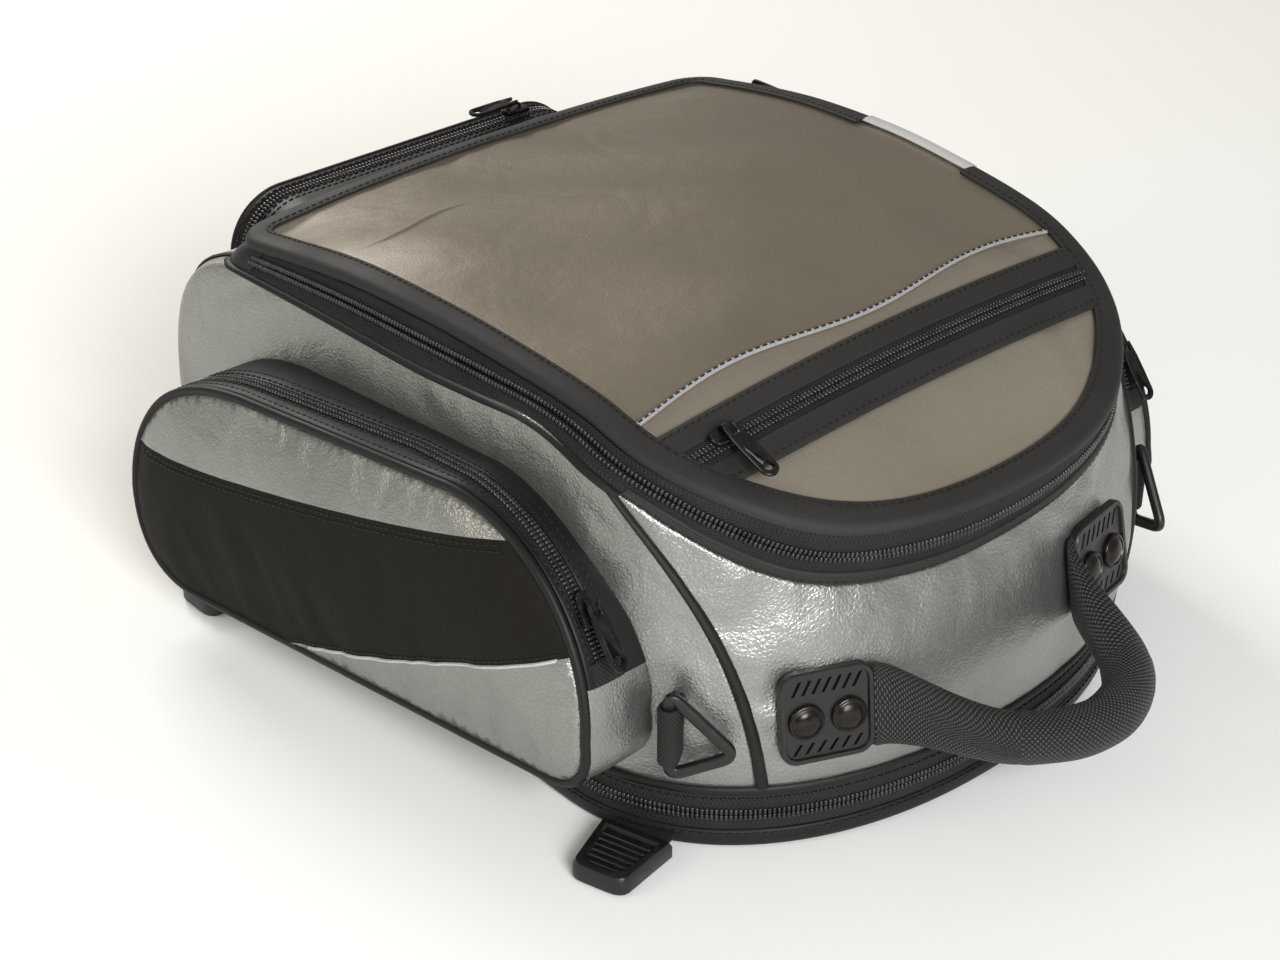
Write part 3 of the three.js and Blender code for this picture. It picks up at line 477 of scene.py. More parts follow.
def joined(name, pieces):
    """Several meshes as one object, without their materials."""
    points, faces, uvs, first = [], [], [], 0
    for piece in pieces:
        mesh = piece.data
        layer = mesh.uv_layers.active.data
        points += [piece.matrix_world @ v.co / MM for v in mesh.vertices]
        for polygon in mesh.polygons:
            faces.append([first + n for n in polygon.vertices])
            uvs += [layer[n].uv / MM for n in polygon.loop_indices]
        first += len(mesh.vertices)
        bpy.data.objects.remove(piece)
    return mesh_object(name, points, faces, uvs)


def moved(piece, matrix):
    """A mesh made at the origin, put where the matrix says, in millimetres."""
    matrix = matrix.copy()
    matrix.translation *= MM
    piece.data.transform(matrix)
    return piece


def basis(position, x_axis, z_axis):
    z = Vector(z_axis).normalized()
    x = Vector(x_axis)
    x = (x - z * x.dot(z)).normalized()
    matrix = Matrix((x, z.cross(x), z)).transposed().to_4x4()
    matrix.translation = Vector(position)
    return matrix


def loft(name, rings, sharp=35):
    """Closed rings of points joined into a solid with flat ends."""
    return lattice(name, rings, False, True, sharp)


def circle(radius, z, sides=24, centre=(0, 0)):
    return [(centre[0] + radius * math.cos(t), centre[1] + radius * math.sin(t), z) for t in turns(sides)]


def rounded(width, height, radius, z, steps=6, centre=(0, 0)):
    """A rounded rectangle's outline at height z."""
    w, h = width / 2 - radius, height / 2 - radius
    corners = ((w, h, 0), (-w, h, 90), (-w, -h, 180), (w, -h, 270))
    return [(centre[0] + x + radius * math.cos(math.radians(a0 + a)),
             centre[1] + y + radius * math.sin(math.radians(a0 + a)), z)
            for x, y, a0 in corners for a in span(0, 90, steps)]


def evaluated(piece):
    """Applies the piece's modifiers to its mesh."""
    mesh = bpy.data.meshes.new_from_object(piece.evaluated_get(bpy.context.evaluated_depsgraph_get()))
    piece.modifiers.clear()
    piece.data = mesh


def cut_out(piece, tool):
    """Takes the tool's solid out of the piece, and removes the tool."""
    cut = piece.modifiers.new("Cut", "BOOLEAN")
    cut.object = tool
    cut.solver = "EXACT"
    evaluated(piece)
    bpy.data.objects.remove(tool)


def rounded_edges(piece, width, segments=2):
    bevel = piece.modifiers.new("Bevel", "BEVEL")
    bevel.width = width * MM
    bevel.segments = segments
    bevel.limit_method = "ANGLE"
    bevel.angle_limit = math.radians(35)


# ---------------------------------------------------------------- materials

CREASE_WAVER = 3.0  # mm to each side of its straight line
CREASE_WIDTH = 2.6  # mm from its bottom to its edge, at the middle of its length


class Paint:
    """A material's node graph, with short calls for the nodes used here."""

    def __init__(self, name):
        self.material = bpy.data.materials.new(name)
        self.material.use_nodes = True
        self.tree = self.material.node_tree
        self.shader = self.tree.nodes["Principled BSDF"]

    def feed(self, socket, value):
        if isinstance(value, bpy.types.NodeSocket):
            self.tree.links.new(value, socket)
        else:
            socket.default_value = value

    def node(self, kind, inputs=None, **settings):
        node = self.tree.nodes.new("ShaderNode" + kind)
        for key, value in settings.items():
            setattr(node, key, value)
        for key, value in (inputs or {}).items():
            self.feed(node.inputs[key], value)
        return node

    def math(self, operation, a, b=0.0):
        return self.node("Math", {0: a, 1: b}, operation=operation).outputs[0]

    def times(self, a, b):
        return self.math("MULTIPLY", a, b)

    def plus(self, a, b):
        return self.math("ADD", a, b)

    def vector(self, operation, a, b, output=0):
        return self.node("VectorMath", {0: a, 1: b}, operation=operation).outputs[output]

    def here(self, kind="Object"):
        """A point of the piece's own space, or of its UV map."""
        return self.node("TexCoord").outputs[kind]

    def noise(self, at, scale, detail=2.0, distortion=0.0):
        inputs = {"Vector": at, "Scale": scale, "Detail": detail, "Distortion": distortion}
        return self.node("TexNoise", inputs).outputs["Fac"]

    def remap(self, value, low, high, to_low, to_high):
        inputs = {"Value": value, "From Min": low, "From Max": high, "To Min": to_low, "To Max": to_high}
        return self.node("MapRange", inputs).outputs[0]

    def between(self, factor, dark, light):
        mix = self.node("Mix", data_type="RGBA")
        self.feed(mix.inputs["Factor"], factor)
        self.feed(mix.inputs[6], (*dark, 1))
        self.feed(mix.inputs[7], (*light, 1))
        return mix.outputs[2]

    def bump(self, height, distance, strength=1.0, normal=None):
        inputs = {"Height": height, "Distance": distance * MM, "Strength": strength}
        if normal is not None:
            inputs["Normal"] = normal
        return self.node("Bump", inputs).outputs[0]

    def crease_line(self, at, start, end):
        """0 on the plain skin, down to -1 along one wavering line seen from above."""
        begin, finish = Vector(start) * MM, Vector(end) * MM
        along = (finish - begin).normalized()
        from_start = self.vector("SUBTRACT", at, (*begin, 0))
        run, off = (self.vector("DOT_PRODUCT", from_start, (*way, 0), "Value")
                    for way in (along, (-along.y, along.x)))
        share = self.math("DIVIDE", run, (finish - begin).length)
        waver = self.times(self.math("SINE", self.times(share, 6.0)), CREASE_WAVER * MM)
        width = self.times(self.math("SINE", self.times(share, math.pi)), CREASE_WIDTH * MM)
        reach = self.math("DIVIDE", self.math("ABSOLUTE", self.plus(off, waver)),
                          self.math("MAXIMUM", width, 0.01 * MM))
        inside = self.times(self.math("GREATER_THAN", share, 0.0), self.math("LESS_THAN", share, 1.0))
        return self.times(self.remap(reach, 0.0, 1.0, -1.0, 0.0), inside)

    def finish(self, **values):
        for key, value in values.items():
            self.feed(self.shader.inputs[key.replace("_", " ")], value)
        return self.material


def leather(name, dark, light, roughness=0.36, metallic=0.85, relief=1.0, fold=None):
    """Pebbled coated leather with a pearl finish, creased a little where it bends, with painted shade
    darkening the grain's hollows. fold is an optional (start, end) in mm of one sharp crease across the skin,
    whose line is darkened with painted shade."""
    p = Paint(name)
    at = p.here()
    shake = p.node("TexNoise", {"Vector": at, "Scale": 240.0, "Detail": 2.0}).outputs["Color"]
    bent = p.vector("ADD", at, p.vector("MULTIPLY", shake, (0.002,) * 3))
    cells = p.node("TexVoronoi", {"Vector": bent, "Scale": 540.0}, feature="DISTANCE_TO_EDGE")
    pebble = p.remap(cells.outputs["Distance"], 0.0, 0.3, 0.0, 1.0)
    fine = p.noise(at, 1300.0, 2.0)
    crease = p.noise(at, 60.0, 3.0, 1.4)
    folds = p.noise(p.vector("MULTIPLY", at, (1.0, 1.0, 0.3)), 26.0, 2.0, 0.8)
    cloud = p.noise(at, 8.0, 3.0)
    grain = p.plus(pebble, p.times(fine, 0.35))
    # Painted shade: the colour darkens a little towards the pebble cells' edges, the grain's hollows; cloud
    # is a broad random tone.
    tone = p.times(p.remap(pebble, 0.0, 0.6, 0.88, 1.0), p.remap(cloud, 0.3, 0.7, 0.7, 1.0))
    normal = p.bump(crease, 1.6, 0.35 * relief, p.bump(folds, 6.0, 0.4 * relief))
    if fold:
        height = p.crease_line(at, *fold)
        # Painted shade: the colour darkens to about a third along the fold's line.
        tone = p.times(tone, p.remap(height, -1.0, 0.0, 0.35, 1.0))
        normal = p.bump(height, 2.4, 0.9, normal)
    return p.finish(
        Base_Color=p.between(tone, dark, light), Metallic=metallic,
        Roughness=p.remap(p.plus(pebble, cloud), 0.3, 1.7, roughness + 0.08, roughness - 0.05),
        Normal=p.bump(grain, 0.22, 0.42 * relief, normal))


def woven(name, dark, light, along, across, depth=0.25, slant=0.0, roughness=0.75, specular=0.25):
    """A woven tape: threads over and under, by the piece's UVs, which are real lengths in metres."""
    p = Paint(name)
    at = p.node("TexCoord")
    uv = p.node("SeparateXYZ", {"Vector": at.outputs["UV"]})
    u = p.times(uv.outputs[0], 2 * math.pi / (along * MM))
    v = p.times(uv.outputs[1], 2 * math.pi / (across * MM))
    if slant:
        lean = p.times(p.math("PINGPONG", uv.outputs[1], slant * MM), 2 * math.pi / (along * MM))
        u = p.plus(u, lean)
    over = p.times(p.math("SINE", u), p.math("SINE", v))
    height = p.remap(over, -1.0, 1.0, 0.0, 1.0)
    lint = p.noise(at.outputs["Object"], 900.0, 3.0)
    wear = p.noise(at.outputs["Object"], 35.0, 3.0)
    tone = p.times(p.plus(height, p.times(lint, 0.6)),
                  p.remap(wear, 0.3, 0.7, 0.6, 1.0))
    return p.finish(
        Base_Color=p.between(tone, dark, light), Roughness=roughness,
        Specular_IOR_Level=specular,
        Normal=p.bump(p.plus(height, p.times(lint, 0.25)), depth, 0.8))


def braided(name, dark, light, pitch=3.8):
    """The handle's sleeve: an open braid of crossing strands."""
    p = Paint(name)
    at = p.node("TexCoord")
    uv = p.node("SeparateXYZ", {"Vector": at.outputs["UV"]})
    turn = 2 * math.pi / (pitch * MM)
    u = p.times(uv.outputs[0], turn)
    v = p.times(uv.outputs[1], turn * 0.87)
    strands = p.times(p.math("SINE", p.plus(u, v)),
                     p.math("SINE", p.math("SUBTRACT", u, v)))
    height = p.math("POWER", p.math("ABSOLUTE", strands), 0.6)
    lint = p.noise(at.outputs["Object"], 1100.0, 3.0)
    return p.finish(
        Base_Color=p.between(p.times(height, p.plus(lint, 0.5)), dark, light),
        Roughness=0.5, Specular_IOR_Level=0.4,
        Normal=p.bump(p.plus(height, p.times(lint, 0.2)), 1.1, 1.0))


def binding_cloth(name, dark, light, roughness=0.62):
    """Smooth edge binding: a fine close weave that shows only as a soft grain."""
    p = Paint(name)
    at = p.here()
    fine = p.noise(at, 1400.0, 4.0)
    broad = p.noise(at, 22.0, 3.0)
    return p.finish(
        Base_Color=p.between(p.times(fine, p.remap(broad, 0.3, 0.7, 0.8, 1.3)), dark, light),
        Roughness=p.remap(broad, 0.3, 0.7, roughness - 0.06, roughness + 0.08), Specular_IOR_Level=0.3,
        Normal=p.bump(fine, 0.12, 0.5, p.bump(broad, 1.2, 0.2)))


def moulded(name, dark, light, roughness=0.38, metallic=0.0, grain=0.05):
    """Moulded plastic or cast metal, with a fine skin and handling marks."""
    p = Paint(name)
    at = p.here()
    skin = p.noise(at, 1200.0, 3.0)
    marks = p.noise(at, 140.0, 5.0, 1.0)
    return p.finish(
        Base_Color=p.between(marks, dark, light), Metallic=metallic,
        Roughness=p.remap(marks, 0.35, 0.65, roughness - 0.08, roughness + 0.12),
        Normal=p.bump(skin, grain, 0.5, p.bump(marks, 0.1, 0.3)))


def vinyl():
    """Clear soft film, faintly smoked, with slow ripples in its gloss. Its colour goes lighter and darker
    along the same ripples: a painted reflection.
    """
    p = Paint("clear_vinyl")
    at = p.here()
    ripple_and_reflection = p.noise(at, 18.0, 3.0, 0.5)
    return p.finish(
        # Painted reflection: the film's smoky colour lightens and darkens with the ripples.
        Base_Color=p.between(ripple_and_reflection, (0.11, 0.09, 0.06), (0.2, 0.165, 0.12)), Alpha=0.34,
        Roughness=p.remap(p.noise(at, 60.0, 3.0), 0.3, 0.7, 0.24, 0.36), Specular_IOR_Level=0.3,
        Normal=p.bump(ripple_and_reflection, 4.0, 0.3))


def foam(name, dark, light):
    p = Paint(name)
    at = p.here()
    pores = p.node("TexVoronoi", {"Vector": at, "Scale": 700.0}).outputs["Distance"]
    return p.finish(Base_Color=p.between(pores, dark, light), Roughness=0.9,
                    Normal=p.bump(pores, 0.4, 0.6))


def floor_paint():
    p = Paint("studio_floor")
    at = p.here()
    return p.finish(Base_Color=p.between(p.noise(at, 3.0), (0.92, 0.92, 0.91), (0.94, 0.94, 0.93)),
                    Roughness=0.85)


def grey(value, warmth=0.0):
    return (value * (1 + warmth), value, value * (1 - warmth))


PAINTS = {
    "silver": leather("silver_leather", (0.085, 0.087, 0.082), (0.34, 0.345, 0.325)),
    "lid": leather("lid_leather", (0.115, 0.098, 0.072), (0.32, 0.285, 0.225), 0.45, 0.5, 0.45,
                   LID_SHADED_CREASE),
    "binding": binding_cloth("edge_binding", grey(0.008, 0.02), grey(0.028, 0.04)),
    "tape": woven("zip_tape", grey(0.0015), grey(0.022), 1.8, 3.2, 0.4, slant=3.2),
    "webbing": woven("webbing", grey(0.002), grey(0.022), 2.2, 1.8, 0.5),
    "piping": binding_cloth("piping_cloth", grey(0.002), grey(0.009), 0.5),
    "sleeve": braided("handle_sleeve", grey(0.001), grey(0.06)),
    "band": woven("pocket_band", (0.006, 0.005, 0.003), (0.011, 0.009, 0.006), 0.9, 0.9, 0.1,
                  roughness=0.7, specular=0.15),
    "plastic": moulded("black_plastic", grey(0.003), grey(0.009)),
    "coil": moulded("zip_coil", grey(0.006), grey(0.075), 0.16, 0.5),
    "thread": binding_cloth("dark_thread", grey(0.002), grey(0.01), 0.5),
    "pale": binding_cloth("pale_piping", grey(0.35), grey(0.6), 0.45),
    "edge": binding_cloth("vinyl_edge", grey(0.2), grey(0.42), 0.4),
    "metal": moulded("gunmetal", grey(0.02, 0.02), grey(0.06, 0.03), 0.28, 0.9),
    "rivet": moulded("rivet_metal", (0.012, 0.01, 0.008), (0.034, 0.028, 0.023), 0.24, 0.7),
    "vinyl": vinyl(),
    "board": moulded("base_board", grey(0.012), grey(0.03), 0.6, grain=0.2),
    "pad": foam("foam_pad", grey(0.008), grey(0.03)),
    "lining": woven("lining", grey(0.012), grey(0.05), 0.8, 0.8, 0.12, roughness=0.6),
}


def dress(piece, body, paint, replaces=(), inner=None):
    """Paints a piece, hides the frame nodes that it stands for, and rides it on its body."""
    piece.data.materials.clear()
    piece.data.materials.append(PAINTS[paint])
    if inner:
        piece.data.materials.append(PAINTS[inner])
    if body:
        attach(piece, body)
    if replaces:
        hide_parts(*([replaces] if isinstance(replaces, str) else replaces))
    return piece


def hold_edges(mesh):
    """Keeps the line between two materials sharp when the mesh is smoothed."""
    owners = {}
    for polygon in mesh.polygons:
        for key in polygon.edge_keys:
            owners.setdefault(key, set()).add(polygon.material_index)
    crease = mesh.attributes.new("crease_edge", "FLOAT", "EDGE")
    for edge in mesh.edges:
        crease.data[edge.index].value = float(len(owners[edge.key]) > 1)


# ---------------------------------------------------------------- stuffed skins

STUFFED = []
CLOTH_FRAMES = 18


def stuff(piece, pressure, cap, growth=0.012):
    """Lists a skin that is sewn along its border, to be filled out by the cloth simulation."""
    STUFFED.append((piece, pressure, cap, growth))
    return piece


def border(mesh):
    uses = {}
    for polygon in mesh.polygons:
        for key in polygon.edge_keys:
            uses[key] = uses.get(key, 0) + 1
    return sorted({n for key, count in uses.items() if count == 1 for n in key})


def simulate():
    """Fills every listed skin out at once. No point moves further than its skin's cap."""
    rest = {}
    for piece, pressure, _, growth in STUFFED:
        rest[piece.name] = np.array([tuple(v.co) for v in piece.data.vertices])
        piece.vertex_groups.new(name="sewn").add(border(piece.data), 1.0, "REPLACE")
        cloth = piece.modifiers.new("Cloth", "CLOTH")
        cloth.point_cache.frame_start, cloth.point_cache.frame_end = 1, CLOTH_FRAMES
        settings = cloth.settings
        settings.quality = 6
        settings.mass = 0.15
        settings.tension_stiffness = settings.compression_stiffness = 15
        settings.shear_stiffness = 5
        settings.bending_stiffness = 0.8
        settings.vertex_group_mass = "sewn"
        settings.effector_weights.gravity = 0
        settings.use_pressure = True
        settings.uniform_pressure_force = pressure
        settings.shrink_min = -growth
    for step in range(1, CLOTH_FRAMES + 1):
        bpy.context.scene.frame_set(step)
    shapes = {}
    depsgraph = bpy.context.evaluated_depsgraph_get()
    for piece, _, cap, _ in STUFFED:
        mesh = piece.evaluated_get(depsgraph).to_mesh()
        push = np.array([tuple(v.co) for v in mesh.vertices]) - rest[piece.name]
        far = np.linalg.norm(push, axis=1, keepdims=True)
        limit = cap * MM
        shapes[piece.name] = rest[piece.name] + push / np.maximum(far, 1e-9) * limit * np.tanh(far / limit)
    for piece, _, _, _ in STUFFED:
        piece.modifiers.clear()
        piece.vertex_groups.clear()
        piece.data.vertices.foreach_set("co", shapes[piece.name].ravel())
        piece.data.update()
    bpy.context.scene.frame_set(1)


def lined(piece, thickness):
    """Fine smooth skin with its real thickness, and a second material on the inside if there is one."""
    finer = piece.modifiers.new("Finer", "SUBSURF")
    finer.levels = finer.render_levels = 1
    shell = piece.modifiers.new("Shell", "SOLIDIFY")
    shell.thickness = thickness * MM
    shell.offset = -1
    shell.material_offset = len(piece.data.materials) - 1
    return piece


# ---------------------------------------------------------------- base

def slab(name, lift, bottom, top, edge):
    """A flat pad of the bag's outline, with its edges rounded by edge mm."""
    rings = [(lift - edge, bottom), (lift - 0.3 * edge, bottom + 0.3 * edge), (lift, bottom + edge),
             (lift, top - edge), (lift - 0.3 * edge, top - 0.3 * edge), (lift - edge, top)]
    return loft(name, [[wall(k, z if z > PANEL_BOTTOM else 0, inset)[:2] + (z,) for k in LOOP]
                       for inset, z in rings])


def base():
    pad = dress(slab("base_foam", -2.6, 0, PAD_TOP, 1.5), "base", "pad", "base_pad")
    dress(slab("base_stiffener", -2.6, PAD_TOP + GAP, BOARD_TOP, 0.4), "base", "board", "base_board")
    rim = tape("base_edge", LOOP, 1, 9, wall, 2.2, crown=0.4, loop=True)
    dress(rim, "base", "piping", "base_binding")
    stitches("base_edge_stitches", LOOP + [4], 7.4, 0.5, wall, "base")
    lower = tape("base_zip_tape_lower", LOOP, 9.2, 16.2, wall, 1.6, top=-0.2, loop=True)
    dress(lower, "base", "tape", "base_zip_lower")
    coil("base_coil_lower", LOOP + [4], 15.6, 0.2, wall, "base")


def bag_bottom():
    upper = tape("base_zip_tape_upper", LOOP, 17.8, 26.4, wall, 1.6, top=-0.2, loop=True)
    dress(upper, "bag", "tape", "base_zip_upper")
    coil("base_coil_upper", LOOP + [4], 18.4, 0.2, wall, "bag")
    floor = dress(slab("bag_base_panel", -2.2, FLOOR_BOTTOM, FLOOR_BOTTOM + 3, 0.8), "bag", "lining",
                  "bag_floor")
    bead = pipe("base_cord", LOOP, PIPING_Z, -0.8, wall, PIPING_RADIUS + 0.2, loop=True)
    dress(bead, "bag", "piping", "base_piping")
    stitches("base_tape_stitches", LOOP + [4], 24.6, 0.1, wall, "bag")


# ---------------------------------------------------------------- body

def panel_rows(name, ks_at, columns, rows, swell=lambda u, v: 0):
    """A wall panel between two seams. ks_at gives the outline position of column u at height z, and
    swell how far the skin stands out at (u, v)."""
    def point(u, v):
        z = 140
        for _ in range(4):
            z = lerp(PANEL_BOTTOM - 1.2, body_top(ks_at(u, z)) + 1.5, v)
        k = ks_at(u, z)
        return wall(k, z, swell(u, v))

    return lattice(name, [[point(u, v) for v in rows] for u in columns])


SEAM_K_PER_MM = 1 / 140
CORNER_LENGTH = 22  # mm of wall round a rear corner, where k gains 1
REAR_CORD_RADIUS = 1.5
TUCK = 0.6  # how far a panel stops short of a seam's middle


def side_fullness(u, v):
    """A side wall stands fuller above its pocket, most near the rear corner."""
    edge = min(1, 6 * u) * min(1, 5 * (1 - u)) * math.sin(math.pi * clamp(v)) ** 0.7
    return 5.5 * edge * math.exp(-((u - 0.86) / 0.3) ** 2)


def body_panels():
    rows = span(0, 1, 20)
    front = panel_rows("front_leather", lambda u, z: u * (seam_k(z) - TUCK * SEAM_K_PER_MM),
                       span(-1, 1, 44), rows)
    stuff(dress(front, "bag", "silver", "front_panel", "lining"), 1.0, 1.6, 0.015)
    for name, side in SIDES:
        def at(u, z, side=side):
            return side * lerp(seam_k(z) + TUCK * SEAM_K_PER_MM, REAR_SEAM_K, u)
        leather_wall = panel_rows(f"{name}_leather", at, [*span(0, 0.85, 50)[:-1], *span(0.85, 1, 16)], rows,
                                  side_fullness)
        stuff(dress(leather_wall, "bag", "silver", f"{name}_panel", "lining"), 1.0, 1.8)
        top = max(z for z in span(PANEL_BOTTOM, 170, 139) if z < body_top(seam_k(z)))
        zs = span(PANEL_BOTTOM - 1, top, 40)
        bead = pipe(f"seam_cord_{name}", zs, 0, -0.2, lambda z, a, h, side=side: wall(
            side * (seam_k(z) + a * SEAM_K_PER_MM), z, h), PIPING_RADIUS)
        dress(bead, "bag", "piping", f"seam_piping_{name}")
        rear_zs = span(PANEL_BOTTOM, body_top(REAR_SEAM_K) - 1, 30)
        cord = pipe(f"rear_seam_cord_{name}", rear_zs, 0, 1.4, lambda z, a, h, side=side: wall(
            side * (REAR_SEAM_K + a / CORNER_LENGTH), z, h), REAR_CORD_RADIUS)
        dress(cord, "bag", "piping")
    half = 4 - REAR_SEAM_K
    rear = panel_rows("rear_leather", lambda u, z: -4 - u * half if u < 0 else 4 - u * half,
                      span(-1, 1, 44), rows)
    stuff(dress(rear, "bag", "silver", "rear_panel", "lining"), 1.0, 1.5)


GUSSET_K = (ZIP_END_K - 0.02, 3.14)  # where a corner gusset starts and ends round the outline
BINDING_END_K = 0.82  # the grey binding under the main zip goes round the nose only


def main_zip():
    nose = span(-BINDING_END_K, BINDING_END_K, 80)
    edge = tape("body_edge_binding", nose, lambda k: BINDING_BOTTOM * band_height(k),
                lambda k: BINDING_TOP * band_height(k) + 0.6, on_band, 2.2, top=0.9, crown=0.5)
    dress(edge, "bag", "binding", "top_binding")
    stitches("body_edge_stitches", nose, lambda k: (BINDING_BOTTOM + 0.07) * band_height(k), 1.2,
                   on_band, "bag")
    for name, side in SIDES:
        run = span(side * BINDING_END_K, side * ZIP_END_K, 50)
        flap = tape(f"body_edge_tape_{name}", run, lambda k: BINDING_BOTTOM * band_height(k),
                    lambda k: BINDING_TOP * band_height(k), on_band, 1.4, top=0.1)
        dress(flap, "bag", "tape")
        around = chain((side * BINDING_END_K, side, 8), (side, side * 2, 40), (side * 2, side * 3, 12),
                       (side * 3, side * 3.98, 20))
        dress(pipe(f"body_top_cord_{name}", around, 0.6, 0.2, on_band, 1.7), "bag", "piping")
    lower = tape("main_zip_tape_lower", ZIP_RUN, lambda k: BINDING_TOP * band_height(k) - 1,
                 lambda k: ZIP_SPLIT * band_height(k) - 0.8, on_band, 1.4, top=-0.2)
    dress(lower, "bag", "tape", "main_zip_lower")
    coil("main_coil_lower", ZIP_RUN, lambda k: ZIP_SPLIT * band_height(k) - 1.6, 0.3, on_band, "bag")
    upper = tape("main_zip_tape_upper", ZIP_RUN, lambda k: ZIP_SPLIT * band_height(k) + 0.8,
                 lambda k: band_height(k) - 2.2, on_band, 1.4, top=-0.2)
    dress(upper, "lid", "tape", "main_zip_upper")
    coil("main_coil_upper", ZIP_RUN, lambda k: ZIP_SPLIT * band_height(k) + 1.6, 0.3, on_band, "lid")
    for name, side in SIDES:
        corner_gusset(name, side)


def corner_gusset(name, side):
    """The soft cloth past each end of the main zip, between the body's top and the lid's corner."""
    rows = []
    for k in chain((side * GUSSET_K[0], side * 2, 4), (side * 2, side * 3, 12),
                   (side * 3, side * GUSSET_K[1], 4)):
        face = [band(k, t, -0.4 + 1.1 * math.sin(math.pi * t)) for t in span(0.02, 0.93, 8)]
        rows.append([*face, *[band(k, t, -1.6) for t in span(0.93, 0.02, 8)]])
    cloth = loft(f"corner_gusset_{name}", rows, 50)
    dress(cloth, None, "piping")
    band(side * 2.5, 0.02) * MM
    band(side * 2.5, 0.93) * MM
    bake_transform(cloth)


# ---------------------------------------------------------------- lid

def lid_outline(inset):
    return [lid_plan(k, inset) for k in LOOP]


def side_k(y):
    return 1 + (y - NOSE_START_Y) / (LID_REAR_Y - LID_CORNER - NOSE_START_Y)


BINDING_SECTION = [(10.4, 2.8), (9, 3.3), (5, 3.5), (1.6, 3.3), (0, 2.5), (-0.8, 1.0), (-0.8, -0.6),
                   (-0.4, -1.2), (0.2, -1.2), (0.5, -0.2), (0.6, 1.2), (5, 1.7), (10.4, 1.7)]
BINDING_STITCH = 8.4  # how far in from the lid's edge its binding is sewn


def lid():
    skin = patch("lid_leather_skin", lid_outline(0), lambda x, y: on_lid(x, y, 0), 7.5)
    stuff(dress(skin, "lid", "lid", "lid_panel", "lining"), 0.6, 0.9)
    pad = patch("lid_padding", lid_outline(BINDING_WIDTH), lambda x, y: on_lid(x, y, FOAM_TOP), 10)
    dress(pad, "lid", "lining", "lid_foam")
    lined(pad, FOAM)
    runs = {"lid_binding": chain(*LEFT_RUNS, (1, side_k(MAP_OPENING[0]), 10)),
            "lid_binding_right": chain((side_k(MAP_OPENING[1]), 2, 20), *REAR_RUNS)}
    for name, ks in runs.items():
        strip = sweep(f"{name}_cloth", ks, lambda k: BINDING_SECTION, on_lid_edge)
        dress(strip, "lid", "binding", name)
        stitches(f"{name}_stitches", ks, BINDING_STITCH, 3.4, on_lid_edge, "lid")
    hinge_cloth()
    map_window()
    lid_zip()


def strip_on_lid(u, y, lift):
    """u runs from -1 to 1 across the lid, short of its edge binding."""
    return on_lid(u * (lid_span(y) - BINDING_INNER), y, lift)


HINGE_INSIDE = 9  # how far inside the rear wall the lid's hinge cloth is sewn


def hinge_cloth():
    """The fabric hinge from the rear wall's top to the lid's rear edge."""
    low, high = 154, profile(LID_EDGE, LID_REAR_Y) - 3.2
    rows = []
    for u in span(-1, 1, 40):
        x = u * (LID_HALF_REAR - 5)
        line = [Vector((x, rear_wall_y(z) - HINGE_INSIDE, z)) for z in span(low - 4, low, 4)]
        top = Vector((x, LID_REAR_Y - 1.5, high + tilt_at(x, LID_REAR_Y)))
        line += [line[-1].lerp(top, t) + Vector((0, 2.5 * math.sin(math.pi * t), 0)) for t in span(0.1, 1, 9)]
        rows.append([*line, *[p - Vector((0, 1.2, 0)) for p in reversed(line)]])
    cloth = loft("lid_hinge_cloth", rows, 50)
    dress(cloth, None, "piping")
    start = Vector((0, rear_wall_y(low) - HINGE_INSIDE, low)) * MM
    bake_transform(cloth)


def map_window():
    rear = LID_REAR_Y - BINDING_INNER
    ys = span(0, 1, 60)
    film = lattice("map_film", [[strip_on_lid(u, lerp(seam_y(u), rear, v), 1.9) for v in ys]
                                for u in span(-1, 1, 60)])
    dress(film, "lid", "vinyl", "map_window")
    us = span(-0.995, 0.995, 90)

    def across_lid(u, y, lift):
        return strip_on_lid(u, seam_y(u) + y, lift)

    ridge = tape("map_seam", us, -0.9, 0.9, across_lid, 1.1, top=2.6, crown=0.4)
    dress(ridge, "lid", "edge")
    stitches("map_seam_stitches", us, 0, 2.95, across_lid, "lid")
    ks = span(side_k(MAP_OPENING[0]), side_k(MAP_OPENING[1]), 16)
    lip = tape("map_opening_lip", ks, -0.8, 6, on_lid_edge, 0.9, top=2.9, crown=0.5)
    dress(lip, "lid", "pale")


def seam_y(u):
    """The map window's front seam wanders a little across the lid."""
    return MAP_FRONT_Y - 3.2 * math.cos(1.6 * math.pi * (u - 0.05))


def lid_zip():
    us = span(-1, 1, 80)

    def across_lid(u, y, lift):
        return strip_on_lid(u, LID_ZIP_Y + y, lift)

    half = LID_ZIP_WIDTH / 2
    bed = tape("lid_zip_tape", us, -half + 1, half - 1, across_lid, 1.0, top=2.1)
    dress(bed, "lid", "tape", "lid_zip")
    for name, side in (("front", -1), ("rear", 1)):
        low, high = sorted((side * 5.2, side * half))
        strip = tape(f"lid_zip_binding_{name}", us, low, high, across_lid, 1.3, top=3.0, crown=0.5)
        dress(strip, "lid", "binding")
        stitches(f"lid_zip_stitches_{name}", us, side * (half - 2.2), 3.3, across_lid, "lid")
        coil(f"lid_coil_{name}", us, side * 1.5, 2.5, across_lid, "lid")


# ---------------------------------------------------------------- pockets

def arc(centre, radius, start, stop, steps=24):
    return [(centre[0] + radius * math.cos(math.radians(a)), centre[1] + radius * math.sin(math.radians(a)))
            for a in span(start, stop, steps)]


def bend(a, control, b, steps=14):
    return [tuple(lerp(lerp(a[n], control[n], t), lerp(control[n], b[n], t), t) for n in (0, 1))
            for t in span(0, 1, steps)]


